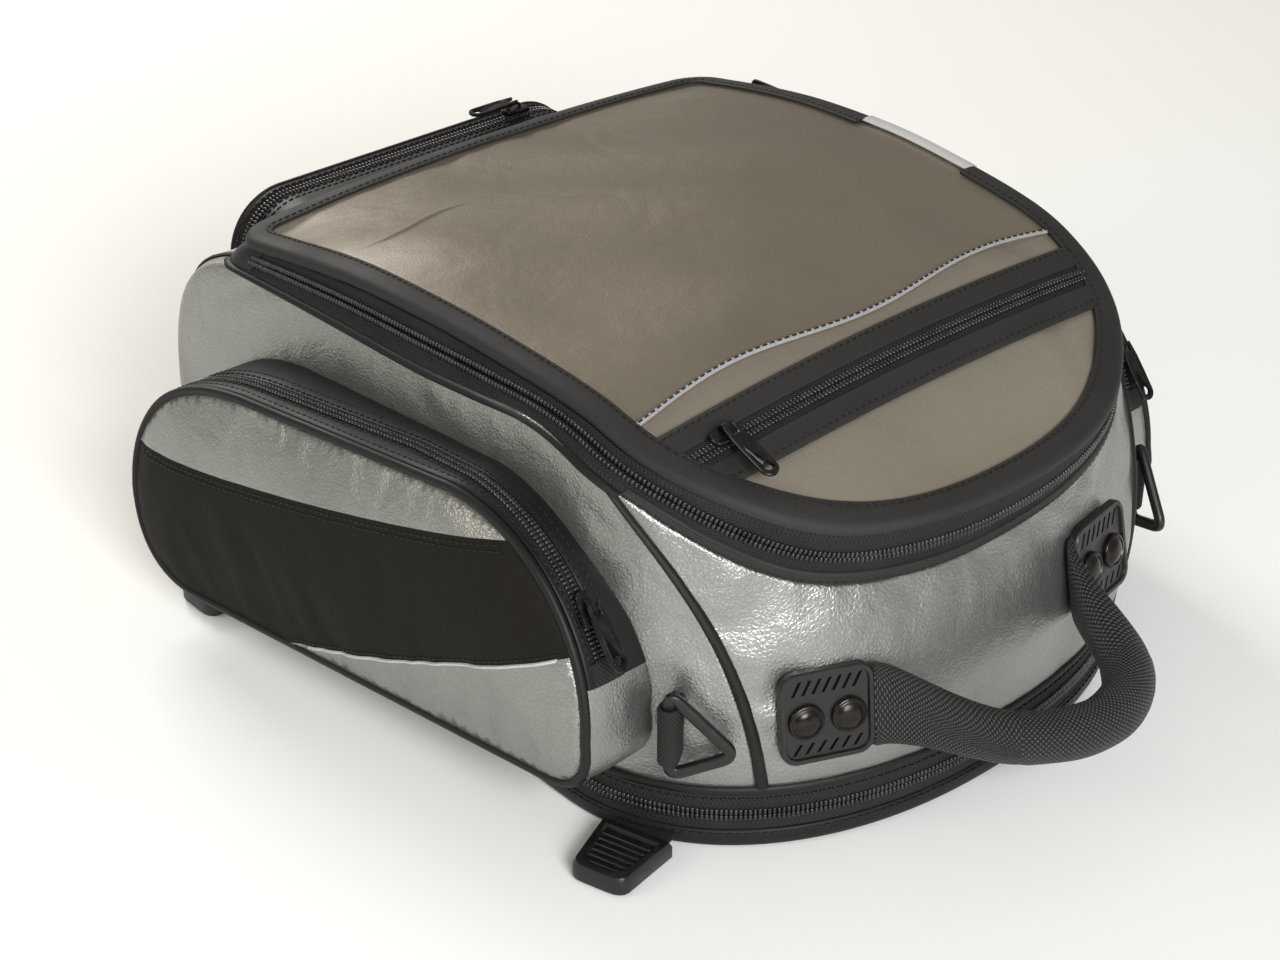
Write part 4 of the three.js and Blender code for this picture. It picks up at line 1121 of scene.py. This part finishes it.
class Route:
    """A flat path measured by its length, with its inward normal."""

    def __init__(self, points, inward):
        kept = [points[0]] + [b for a, b in zip(points, points[1:]) if math.dist(a, b) > 1e-6]
        self.points = np.array(kept, float)
        steps = np.diff(self.points, axis=0)
        self.runs = np.concatenate([[0], np.cumsum(np.hypot(*steps.T))])
        ways = steps / np.hypot(*steps.T)[:, None]
        self.ways = np.vstack([ways[:1], (ways[:-1] + ways[1:]) / 2, ways[-1:]])
        self.inward = inward

    def frame(self, share):
        run = share * self.runs[-1]
        p = [np.interp(run, self.runs, self.points[:, n]) for n in (0, 1)]
        w = Vector([np.interp(run, self.runs, self.ways[:, n]) for n in (0, 1)]).normalized()
        return p, Vector((-w.y, w.x)) * self.inward


ZIP_HALF = 5  # half the width of a pocket's zip tape
ZIP_STOP_LENGTH = 9  # mm of webbing sewn over each end of a pocket's zip
FACE_SOFT = 42.0  # mm in from its rim over which a pocket's face rises


class Pocket:
    """A pocket on a wall: its outline lies in the wall's plane and its depth runs outwards. inner, outer and
    coil_depth give the depths of its back, face and zip at a point of the outline, and bulge is how far
    the face's middle stands out."""

    def __init__(self, name, to_bag, zip_points, cloth_points, inward, inner, outer, coil_depth, bulge):
        self.name, self.to_bag, self.inner, self.outer = name, to_bag, inner, outer
        self.coil_depth, self.bulge = coil_depth, bulge
        self.zip = Route(zip_points, inward)
        self.cloth = Route(cloth_points, inward)
        self.piped = name != "rear_pocket"
        self.cord_radius = PIPING_RADIUS if self.piped else REAR_CORD_RADIUS
        self.rim = 2 * PIPING_RADIUS + 0.2 if self.piped else 1.0

    def on(self, route):
        def place(s, depth, lift):
            p, inward = route.frame(s)
            return self.to_bag(p[0] - inward.x * lift, p[1] - inward.y * lift, depth)
        return place

    def depth(self, route, which, offset=0):
        def at(s):
            p, _ = route.frame(s)
            return (self.inner(*p) if which == "inner" else self.outer(*p) - self.rim) + offset
        return at

    def outline(self, inset):
        points = []
        for route, steps in ((self.zip, 70), (self.cloth, 60)):
            for s in span(0, 1, steps)[:-1]:
                p, inward = route.frame(s)
                points.append((p[0] + inward.x * inset, p[1] + inward.y * inset))
        return points

    def walls(self):
        ends = span(0, 1, 110)
        place = self.on(self.zip)

        def c(offset):
            return lambda s: self.coil_depth(*self.zip.frame(s)[0]) + offset

        dress(tape(f"{self.name}_zip_tape", ends, c(-ZIP_HALF), c(ZIP_HALF), place, 1.2, top=-0.3), "bag",
              "tape", f"{self.name}_zip")
        inner = self.depth(self.zip, "inner", -0.8)
        outer = self.depth(self.zip, "outer")
        for tag, low, high in (("inner", inner, c(-3.2)), ("outer", c(3.6), outer)):
            dress(tape(f"{self.name}_zip_binding_{tag}", ends, low, high, place, 1.9, top=0.5, crown=0.3),
                  "bag", "piping")
        lines = [("a", c(5.2)), ("b", self.depth(self.zip, "outer", -2.4)), ("c", c(-4.6)), ("d", c(-8.2))]
        for tag, across in lines:
            stitches(f"{self.name}_zip_stitches_{tag}", ends, across, 0.75, place, "bag")
        for tag, side in (("inner", -1), ("outer", 1)):
            coil(f"{self.name}_coil_{tag}", ends, c(1.5 * side), 0.2, place, "bag")
        share = ZIP_STOP_LENGTH / self.zip.runs[-1]
        for tag, low, high in (("start", 0, share), ("end", 1 - share, 1)):
            dress(tape(f"{self.name}_zip_stop_{tag}", span(low, high, 6), c(-8.5), c(6), place, 1.4, top=1.3,
                       crown=0.4), "bag", "webbing")
        around = span(0, 1, 90)
        skin = "silver" if self.piped else "binding"
        dress(tape(f"{self.name}_gusset_cloth", around, self.depth(self.cloth, "inner", -0.6),
                   self.depth(self.cloth, "outer", 0.6), self.on(self.cloth), TAPE, crown=0.8), "bag",
              skin, f"{self.name}_gusset")
        loop = [(route, s) for route, stops in ((self.zip, ends), (self.cloth, around)) for s in stops[:-1]]

        def rim(u, across, lift):
            route, s = u
            return self.on(route)(s, self.outer(*route.frame(s)[0]) - self.cord_radius - GAP + across, lift)

        cord = pipe(f"{self.name}_rim_cord", loop, 0 if self.piped else 1.3, -1 if self.piped else 0, rim,
                    self.cord_radius, loop=True)
        dress(cord, "bag", "piping", f"{self.name}_piping" if self.piped else ())

    def face(self, seams=(), zone=None):
        outline = self.outline(2.2 if self.piped else 0.2)
        rim = np.array(outline)

        def surface(a, b):
            inside = clamp(float(np.hypot(rim[:, 0] - a, rim[:, 1] - b).min()) / FACE_SOFT)
            drop = 1.2 if self.piped else 0
            return self.to_bag(a, b, self.outer(a, b) - drop + self.bulge * (1 - (1 - inside) ** 2))

        skin = patch(f"{self.name}_front", outline, surface, 6.5, seams)
        dress(skin, "bag", "silver", f"{self.name}_face")
        if zone:
            skin.data.materials.append(PAINTS["band"])
            layer = skin.data.uv_layers.active.data
            for polygon in skin.data.polygons:
                middle = sum((layer[n].uv for n in polygon.loop_indices), Vector((0, 0)))
                middle = middle / len(polygon.loop_indices) / MM
                polygon.material_index = int(zone(middle.x, middle.y))
            hold_edges(skin.data)
        stuff(skin, 1.2, 2.2)


def band_upper(y):
    """The dark band's upper edge on a side pocket's face, by height."""
    return 112.5 - 0.235 * y + 0.00035 * y * y


def band_lower(y):
    return 48.3 - 0.395 * y + 0.00055 * y * y


def side_pocket(name, side):
    centre, radius = (POCKET_ARC["y"], POCKET_ARC["z"]), POCKET_ARC["radius"]
    zip_points = [*bend((150, 103), (132, 124), (92, 129)), *span_points((92, 129), (centre[0], 140)),
                  *arc(centre, radius, 90, POCKET_ZIP_END, 40)]
    cloth_points = [*arc(centre, radius, POCKET_ZIP_END, 180, 10), *bend((-117, 56), (-118, 39), (-97, 37)),
                    *span_points((-97, 37), (118, 21)), *bend((118, 21), (160, 18), (165, 58)),
                    *bend((165, 58), (166, 84), (150, 103))]
    pocket = Pocket(
        name, lambda y, z, depth: Vector((side * depth, y, z)), zip_points, cloth_points, 1,
        lambda y, z: wall_half_width(side, y, z) + (BAND_ROOM if z < PANEL_BOTTOM + 5 else WALL_ROOM),
        lambda y, z: 178 + 0.085 * y - 0.1 * (z - 80),
        lambda y, z: POCKET_COIL + POCKET_COIL_DRIFT * max(0, y), 6)
    pocket.walls()
    seams = [[(y, edge(y)) for y in span(-112, 160, 60)] for edge in (band_upper, band_lower)]
    pocket.face(seams, lambda y, z: band_lower(y) < z < band_upper(y))
    return pocket


def span_points(a, b, steps=20):
    return [(lerp(a[0], b[0], t), lerp(a[1], b[1], t)) for t in span(0, 1, steps)]


def rear_pocket():
    half, top, bottom, r = REAR_HALF, REAR_POCKET_TOP, REAR_POCKET_BOTTOM, REAR_ROUND
    zip_points = [(-half, REAR_ZIP_END), *arc((-(half - r), top - r), r, 180, 90),
                  *arc((half - r, top - r), r, 90, 0), (half, REAR_ZIP_END)]
    cloth_points = [(half, REAR_ZIP_END), *arc((half - r, bottom + r), r, 0, -90),
                    *arc((-(half - r), bottom + r), r, -90, -180), (-half, REAR_ZIP_END)]
    pocket = Pocket("rear_pocket", lambda x, z, depth: Vector((x, depth, z)), zip_points, cloth_points, -1,
                    lambda x, z: rear_wall_y(z) + 0.5, lambda x, z: REAR_DEPTH, lambda x, z: REAR_COIL, 4)
    pocket.walls()
    pocket.face()
    return pocket


def seams_on_faces(pockets):
    """Stitch lines and the pale fold along the side pockets' dark bands, laid on the finished faces."""
    for pocket in pockets:
        skin = bpy.data.objects[f"{pocket.name}_front"]
        mesh = skin.data
        tree = BVHTree.FromPolygons([v.co for v in mesh.vertices], [p.vertices for p in mesh.polygons])
        side = -1 if pocket.name.startswith("left") else 1
        inside = np.array(pocket.outline(5.0))

        def place(y, z, lift, side=side, tree=tree):
            hit = tree.ray_cast(Vector((side * 0.3, y * MM, z * MM)), Vector((-side, 0, 0)))
            depth = abs(hit[0].x) / MM if hit[0] else pocket.outer(y, z)
            return Vector((side * (depth + lift), y, z))

        for tag, edge, offset in (("upper", band_upper, -2.0), ("upper_edge", band_upper, -4.2),
                                  ("lower", band_lower, 2.2)):
            ys = [y for y in span(-112, 160, 120) if within(inside, y, edge(y) + offset)]
            stitches(f"{pocket.name}_band_stitches_{tag}", ys, lambda y: edge(y) + offset, 0.1, place, "bag")
        ys = [y for y in span(-112, 160, 120) if within(inside, y, band_lower(y) - 0.4)]
        fold = pipe(f"{pocket.name}_band_fold", ys, lambda y: band_lower(y) - 0.3, 0.1, place, 0.8, 6)
        dress(fold, "bag", "pale")


def within(outline, x, y):
    """Whether a point is inside a closed flat outline."""
    a, b = outline, np.roll(outline, -1, 0)
    crosses = (a[:, 1] > y) != (b[:, 1] > y)
    rise = np.where(crosses, b[:, 1] - a[:, 1], 1)
    at = a[:, 0] + (y - a[:, 1]) * (b[:, 0] - a[:, 0]) / rise
    return int((crosses & (x < at)).sum()) % 2 == 1


# ---------------------------------------------------------------- sliders and pulls

SHOE_NOSE = 7  # a slider's length ahead of its bridge, in mm
SHOE_TAIL = 4.5
SHOE_WIDE = 4.4  # its half-widths at the nose and at the tail
SHOE_NARROW = 3.2
PULL_WIDTH = 8
PULL_LENGTH = 27
PULL_THICK = 1.6
PULL_EYE = 22.5  # how far along the pull its hole is


def slider(name, point, along, normal, pull_way):
    """A zip slider on the point, its length along the zip, and its pull on a small bridge."""
    shoe = [(0.35, 0.5), (0, 1.0), (0, 2.2), (0.5, 2.8)]
    outline = [(SHOE_NOSE - 0.5 * abs(t), SHOE_WIDE * t) for t in span(-1, 1, 6)]
    outline += [(lerp(SHOE_NOSE - 0.5, -SHOE_TAIL, s), lerp(SHOE_WIDE, SHOE_NARROW, s))
                for s in span(0.2, 1, 5)]
    outline += [(-SHOE_TAIL - 2.4 * math.sin(t), SHOE_NARROW * math.cos(t))
                for t in span(0.3, math.pi - 0.3, 6)]
    outline += [(lerp(-SHOE_TAIL, SHOE_NOSE - 0.5, s), lerp(-SHOE_NARROW, -SHOE_WIDE, s))
                for s in span(0, 0.8, 5)]
    layers = [[((SHOE_NOSE - inset) / SHOE_NOSE * x, (SHOE_WIDE - inset) / SHOE_WIDE * y, z)
               for x, y in outline] for inset, z in shoe]
    body = loft(f"{name}_shoe", layers, 30)
    arch = []
    for t in span(-90, 90, 10):
        x = 3.6 * math.sin(math.radians(t))
        z = 2.6 + 2.7 * math.cos(math.radians(t)) ** 0.6
        arch.append([(x, y * 1.3, z + h * 0.6) for y, h in ((-1, -1), (1, -1), (1, 1), (-1, 1))])
    bridge = loft(f"{name}_bridge", arch, 50)
    if abs(Vector(along).normalized().dot(Vector(pull_way).normalized())) < 0.5:
        moved(bridge, Matrix.Rotation(math.pi / 2, 4, "Z"))  # the bridge follows a pull that hangs sideways
    whole = joined(f"{name}_slider_body", [body, bridge])
    moved(whole, basis(point, along, normal))
    dress(whole, f"{name}_slider", "metal", f"{name}_slider")
    rounded_edges(whole, 0.25)

    def tab(width, z, length, back=-0.6):
        """The pull's outline at height z, from back to length, with a waist and a round free end."""
        turn = [math.radians(a) for a in span(-90, 90, 10)]
        end = [(length - width / 2 + width / 2 * math.cos(t), width / 2 * math.sin(t), z) for t in turn]
        waist = [(x, (0.36 + 0.14 * clamp(x / 9)) * width, z)
                 for x in (14, lerp(back, 14, 0.5), lerp(back, 14, 0.15))]
        root = [(back, 0.34 * width, z), (back, 0, z), (back, -0.34 * width, z)]
        return end + waist + root + [(x, -y, z) for x, y, z in reversed(waist)]

    # The bottom, the rounded edges and the top face, then the shallow recess pressed into it.
    outer = [tab(PULL_WIDTH - 0.6, 0, 26.7), tab(PULL_WIDTH, 0.35, PULL_LENGTH),
             tab(PULL_WIDTH, 1.25, PULL_LENGTH), tab(PULL_WIDTH - 0.6, PULL_THICK, 26.7),
             tab(PULL_WIDTH - 2.4, PULL_THICK, 25.4, 5.2), tab(PULL_WIDTH - 2.8, 1.2, 25.2, 5.4)]
    pull = loft(f"{name}_pull_tab", outer, 30)
    eye = loft(f"{name}_pull_eye", [circle(2, z, 16, (PULL_EYE, 0)) for z in (-1, 3)])
    fork = loft(f"{name}_pull_fork", [rounded(6, 3.4, 1.2, z, 4, (0.9, 0)) for z in (-1, 3)])
    cut_out(pull, eye)
    cut_out(pull, fork)
    up = Vector(normal).normalized()
    moved(pull, basis(Vector(point) + up * (SLIDER_HEIGHT + PULL_LIFT), pull_way, normal))
    dress(pull, f"{name}_pull", "metal", f"{name}_pull")


def normal_of(surface, u, v, step=0.01):
    du = surface(u + step, v) - surface(u - step, v)
    dv = surface(u, v + step) - surface(u, v - step)
    return du.cross(dv).normalized()


def sliders():
    normal = normal_of(lambda x, y: on_lid(x, y), LID_SLIDER_X, LID_ZIP_Y, 2)
    slider("lid", on_lid(LID_SLIDER_X, LID_ZIP_Y, SKIN_LIFT + 1.2 + 1.4 + 0.6), (1, 0, 0), normal,
           (0, -1, -0.4))
    normal = normal_of(band, MAIN_SLIDER_K, ZIP_SPLIT)
    slider("main", band(MAIN_SLIDER_K, ZIP_SPLIT) + normal * 2.4, (0, -1, 0), normal, (0, 1, 0))
    angle = math.radians(POCKET_SLIDER_AT)
    for name, side in (("left_pocket", -1), ("right_pocket", 1)):
        normal = Vector((0, math.cos(angle), math.sin(angle)))
        down = Vector((0, -math.sin(angle), math.cos(angle)))
        point = Vector((side * POCKET_COIL, POCKET_ARC["y"], POCKET_ARC["z"]))
        slider(name, point + normal * (POCKET_ARC["radius"] + 2), down, normal, down)
    slider("rear_pocket", (REAR_SLIDER_X, REAR_COIL, REAR_POCKET_TOP + 1.8), (1, 0, 0), (0, 0, 1), (-1, 0, 0))


# ---------------------------------------------------------------- handle

def plate_basis(name):
    x, height = PLATES[name]
    side = 1 if x > 0 else -1
    k = side * math.asin((abs(x) / HALF_WIDTH) ** (1 / NOSE_POWER)) * 2 / math.pi
    normal = normal_of(wall, k, height)
    if normal.y > 0:
        normal.negate()
    across = Vector((0, 0, 1)).cross(normal)
    across.negate()
    return basis(wall(k, height) + normal * 0.6, across, normal), side


def handle_plate(name):
    """A moulded plate: raised rim, slanted slots above and below, and two domed rivets. Its own X runs
    towards -X and its own Y runs down."""
    matrix, side = plate_basis(name)
    size = PLATE_SIZE
    rings = [rounded(size - 1, size - 1, 6.5, 0), rounded(size, size, 7, 0.6), rounded(size, size, 7, 3.4),
             rounded(size - 1.2, size - 1.2, 6.4, 4.0), rounded(size - 4.2, size - 4.2, 5, 4.0),
             rounded(size - 5.2, size - 5.2, 4.5, 2.9)]
    body = loft(f"{name}_plate_body", rings, 30)
    cutters = []
    for row, count, height in ((-12.6, 7, 6.0), (13.4, 6, 4.6)):
        for n in range(count):
            x = lerp(-12.5, 12.5, n / (count - 1))
            lean = 1.6
            corner = [(x - 0.75 - lean, row - height / 2), (x + 0.75 - lean, row - height / 2),
                      (x + 0.75 + lean, row + height / 2), (x - 0.75 + lean, row + height / 2)]
            cutters.append(loft(f"slot_{n}", [[(*p, 1.2) for p in corner], [(*p, 6) for p in corner]]))
    slots = joined("slots", cutters)
    cut_out(body, slots)
    body.data.shade_smooth()
    body.data.set_sharp_from_angle(angle=math.radians(30))
    moved(body, matrix)
    dress(body, "bag", "plastic", f"handle_plate_{name}")
    dome = [(7.0, 2.7), (7.4, 3.2), (7.4, 4.2), (6.9, 4.8), (6.3, 4.9), (6.0, 4.5), (5.6, 4.5), (5.2, 4.9),
            (4.2, 5.5), (2.8, 6.0), (1.2, 6.2), (0.05, 6.25)]
    for spot, share in (("inner", side), ("outer", -side)):
        centre = (share * RIVET_OFFSET, RIVET_DROP)
        rivet = loft(f"{name}_rivet_{spot}", [circle(r, z, 28, centre) for r, z in dome], 50)
        dress(moved(rivet, matrix), "bag", "rivet", f"rivet_{name}_{spot}")
    return matrix, side


def catmull(points, t):
    """Uniform Catmull-Rom curve through the points; t runs from 0 to 1."""
    pts = [Vector(p) for p in points]
    place = t * (len(pts) - 1)
    i = min(int(place), len(pts) - 2)
    p0 = pts[i - 1] if i else pts[0] * 2 - pts[1]
    p3 = pts[i + 2] if i + 2 < len(pts) else pts[-1] * 2 - pts[-2]
    p1, p2, w = pts[i], pts[i + 1], place - i
    return 0.5 * (2 * p1 + (p2 - p0) * w + (2 * p0 - 5 * p1 + 4 * p2 - p3) * w**2
                  + (3 * p1 - p0 - 3 * p2 + p3) * w**3)


def tube_frame(t):
    centre = catmull(GRIP_ROUTE, clamp(t))
    way = (catmull(GRIP_ROUTE, clamp(t + 0.01)) - catmull(GRIP_ROUTE, clamp(t - 0.01))).normalized()
    out = way.cross(Vector((0, 0, 1))).normalized()
    return centre, way, out, out.cross(way)


GRIP_SIDES = 32
WEB_END = 0.24  # share of the grip's length at which the flat strap has become round


def handle():
    spots = {name: handle_plate(name) for name in PLATES}
    ts = span(WEB_END - 0.01, 1 - WEB_END + 0.01, 70)
    rows = []
    for t in ts:
        centre, _, out, up = tube_frame(t)
        ends = clamp(min(t - ts[0], ts[-1] - t) / 0.02)
        radius = GRIP_RADIUS * (1 + 0.012 * math.sin(37 * t)) + lerp(-0.5, 0, ends)
        rows.append([centre + out * radius * math.cos(a) + up * radius * math.sin(a)
                     for a in turns(GRIP_SIDES)])
    dress(loft("handle_sleeve", rows, 60), "handle", "sleeve", "handle_grip")
    for name, (matrix, side) in spots.items():
        web(name, matrix, side)


def web(name, matrix, side):
    """The sleeve's flat end: it leaves from under a plate's inner edge and folds round into the grip."""
    end, way, out, up = tube_frame(WEB_END if side < 0 else 1 - WEB_END)
    way = way * -side
    turn = matrix.to_3x3()
    plate_in, plate_up, plate_out = (turn @ Vector(v) for v in ((side, 0, 0), (0, -1, 0), (0, 0, 1)))
    edge = matrix @ Vector((side * (PLATE_SIZE / 2 + 0.5), 0, 2.6))
    under = matrix @ Vector((side * (PLATE_SIZE / 2 - 5), 0, -0.1))
    reach = (end - edge).length
    rows = []
    for share in span(-0.25, 1, 30):
        s = clamp(share)
        h = hermite(s)
        centre = edge * h[0] + plate_in * reach * 0.6 * h[1] + end * h[2] + way * reach * h[3]
        if share < 0:
            centre = edge.lerp(under, -share / 0.25)
        fold = s * s * (3 - 2 * s)
        axis_out = plate_out.lerp(out, fold).normalized()
        axis_up = plate_up.lerp(up, fold).normalized()
        tall = lerp(17.5, GRIP_RADIUS - 0.3, fold ** 0.8)
        thick = lerp(1.0 if share < 0 else 2.2, GRIP_RADIUS - 0.3, fold)
        power = lerp(0.3, 1, s)
        rows.append([centre + axis_up * tall * shaped(math.sin(a), power)
                     + axis_out * thick * shaped(math.cos(a), power)
                     for a in turns(GRIP_SIDES)])
    strap = loft(f"{name}_handle_web", rows, 60)
    dress(strap, None, "sleeve")
    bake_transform(strap)


def shaped(value, power):
    """A sine squared off by the power, for a flat strap's rounded section."""
    return math.copysign(abs(value) ** power, value)


# ---------------------------------------------------------------- rings, tabs, straps and buckles

def ring_route(name):
    x, angle = RINGS[name]
    way = heading(angle)
    corners = [(0, RING["bottom"]), (0, RING["top"]), (RING["reach"], RING["apex"])]
    points = []
    for i, corner in enumerate(corners):
        before, after = corners[i - 1], corners[(i + 1) % 3]
        a, b = (Vector(q) - Vector(corner) for q in (before, after))
        start, stop = Vector(corner) + a.normalized() * 6.5, Vector(corner) + b.normalized() * 6.5
        points += [Vector(p) for p in bend(start, corner, stop, 8)]
    return Vector((x, RING["y"], 0)), way, points


def triangle_ring(name):
    origin, way, points = ring_route(name)
    flat = Vector((-way.y, way.x, 0))
    rows = []
    count = len(points)
    for i, p in enumerate(points):
        ahead = (points[(i + 1) % count] - points[i - 1]).normalized()
        across = Vector((-ahead.y, ahead.x))
        centre = origin + way * p.x + Vector((0, 0, p.y))
        side = way * across.x + Vector((0, 0, across.y))
        rows.append([centre + side * 2.5 * shaped(math.cos(t), 0.6) + flat * 1.9 * shaped(math.sin(t), 0.6)
                     for t in turns(12)])
    piece = lattice(f"ring_{name}_loop", rows, True, True, 60)
    dress(piece, f"ring_{name}", "plastic", f"ring_{name}")


def ring_tab(name):
    """A short webbing loop from the wall round the ring's bar and back."""
    x, _ = RINGS[name]
    side = 1 if x > 0 else -1
    bar = Vector((x, RING["y"], 0))
    root = Vector((x - side * 9.5, RING["y"] + 4.8, 0))
    back = (root - bar).normalized()
    across = Vector((-back.y, back.x, 0))
    route = [root + across * 1.6, bar + back * 4 + across * 3.0]
    route += [bar - back * 3.6 * math.sin(a) + across * 3.6 * math.cos(a) for a in span(0, math.pi, 12)]
    route += [bar + back * 4 - across * 3.0, root - across * 1.6]
    low, high = RING["bottom"] + 6.5, RING["top"] - 6.5
    rows = []
    for z in (low, low + 0.8, *span(low + 2, high - 2, 8), high - 0.8, high):
        thin = 0.55 if z in (low, high) else 1.0
        ring = []
        for offset in (0.8 * thin, -0.8 * thin):
            line = []
            for i, p in enumerate(route):
                ahead = route[min(i + 1, len(route) - 1)] - route[max(i - 1, 0)]
                out = Vector((-ahead.y, ahead.x, 0)).normalized()
                line.append(p + out * offset + Vector((0, 0, z)))
            ring += line if offset > 0 else line[::-1]
        rows.append(ring)
    piece = loft(f"ring_{name}_tab_webbing", rows, 50)
    dress(piece, "bag", "webbing", f"ring_tab_{name}")


def buckle_outline(inset, z, length=31, half=13, flare=3):
    """Wide where the strap enters, narrow and rounded at the far end."""
    x0, x1 = inset, length - inset
    wide, thin = half + flare - inset, half - inset
    points = [(x0, -wide), (lerp(x0, x1, 0.35), lerp(-wide, -thin, 0.45)), (x1 - 6, -thin)]
    points += bend((x1 - 6, -thin), (x1, -thin), (x1, -thin + 7), 5)[1:]
    points += [(x1, 0)]
    points += bend((x1, thin - 7), (x1, thin), (x1 - 6, thin), 5)
    points += [(lerp(x0, x1, 0.35), lerp(wide, thin, 0.45)), (x0, wide), (x0, 0)]
    return [(x, y, z) for x, y in points]


def buckle(name):
    """A side-release buckle half lying on the ground, ribbed for grip, with its strap."""
    x, y, angle = STRAPS[name]
    way = heading(angle)
    matrix = basis((x, y, 0.2), way, (0, 0, 1)) @ Matrix.Translation((6.35, 0, 0))
    shell = loft(f"buckle_{name}_shell", [
        buckle_outline(1.2, 0), buckle_outline(0, 1.3), buckle_outline(0, 6.6), buckle_outline(0.9, 8.6),
        buckle_outline(1.8, 9.0), buckle_outline(3.6, 9.0), buckle_outline(4.4, 7.4)], 30)
    ribs = []
    for n in range(6):
        centre = (lerp(8.5, 25.5, n / 5), 0)
        width = lerp(23, 18, n / 5)
        ribs.append(loft(f"rib_{n}", [rounded(1.9, width, 0.9, 7.0, 3, centre),
                                      rounded(1.9, width, 0.9, 8.2, 3, centre),
                                      rounded(1.0, width - 1, 0.45, 8.8, 3, centre)], 60))
    piece = joined(f"buckle_{name}_body", [shell, *ribs])
    dress(moved(piece, matrix), f"buckle_{name}", "plastic", f"buckle_{name}")
    rows = []
    for out in (-3.0, 0, 3, 6, 9, 11):
        sag = 4.4 + 0.5 * math.sin(max(0, out) / 11 * math.pi)
        rows.append([(out, p[0], sag + p[1]) for p in
                     [(a, b) for a, b, _ in rounded(25, 2, 0.9, 0, 3)]])
    strap = moved(loft(f"strap_{name}_webbing", rows, 60), basis((x, y, 0.2), way, (0, 0, 1)))
    dress(strap, None, "webbing", f"strap_{name}")
    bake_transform(strap)


# ---------------------------------------------------------------- studio

CAMERA = {"place": (-0.641, -0.680, 0.627), "angles": (41.56, 31.33), "lens": 68.9, "sensor": 36}
FLOOR_HALF = 4000
FLOOR_Z = -0.3  # just under the bag, so that the two faces don't coincide
LIGHTS = (  # name, place, aim, size in metres, watts, colour
    ("key", (-0.75, -1.7, 1.05), (0, -0.05, 0.08), 0.8, 42, (0.97, 0.99, 1.0)),
    ("top", (0.3, 1.8, 1.3), (-0.05, 0.05, 0.15), 0.9, 24, (1.0, 0.96, 0.9)),
    ("fill", (-1.7, 0.4, 0.9), (0, 0, 0.1), 0.7, 6, (1.0, 0.92, 0.8)))
SKY = {"colour": (1.0, 0.97, 0.9, 1), "strength": 0.36}


def studio():
    corners = [(x * FLOOR_HALF, y * FLOOR_HALF, FLOOR_Z) for x, y in ((-1, -1), (1, -1), (1, 1), (-1, 1))]
    floor = mesh_object("studio_floor", corners, [[0, 1, 2, 3]])
    floor.data.materials.append(floor_paint())
    world = bpy.data.worlds.new("studio")
    world.use_nodes = True
    sky = world.node_tree.nodes["Background"]
    sky.inputs[0].default_value, sky.inputs[1].default_value = SKY["colour"], SKY["strength"]
    bpy.context.scene.world = world
    bpy.context.scene.view_settings.view_transform = "Standard"
    for name, place, aim, size, power, colour in LIGHTS:
        light = bpy.data.lights.new(name, "AREA")
        light.size = size
        light.energy = power
        light.color = colour
        lamp = bpy.data.objects.new(name, light)
        lamp.location = place
        lamp.rotation_euler = (Vector(aim) - Vector(place)).to_track_quat("-Z", "Y").to_euler()
        bpy.context.scene.collection.objects.link(lamp)
    camera = bpy.data.objects.new("camera", bpy.data.cameras.new("camera"))
    azimuth, elevation = (math.radians(angle) for angle in CAMERA["angles"])
    ahead = Vector((math.sin(azimuth) * math.cos(elevation), math.cos(azimuth) * math.cos(elevation),
                    -math.sin(elevation)))
    camera.location = CAMERA["place"]
    camera.rotation_euler = ahead.to_track_quat("-Z", "Y").to_euler()
    camera.data.lens, camera.data.sensor_width = CAMERA["lens"], CAMERA["sensor"]
    bpy.context.scene.collection.objects.link(camera)
    bpy.context.scene.camera = camera


# ---------------------------------------------------------------- the bag

studio()
base()
bag_bottom()
body_panels()
main_zip()
lid()
side_pockets = [side_pocket("left_pocket", -1), side_pocket("right_pocket", 1)]
rear_pocket()
simulate()
seams_on_faces(side_pockets)
for skin, _, _, _ in STUFFED:
    lined(skin, LID_PANEL if skin.name.startswith("lid") else TAPE)
sliders()
handle()
for ring_name in RINGS:
    triangle_ring(ring_name)
    ring_tab(ring_name)
for strap_name in STRAPS:
    buckle(strap_name)
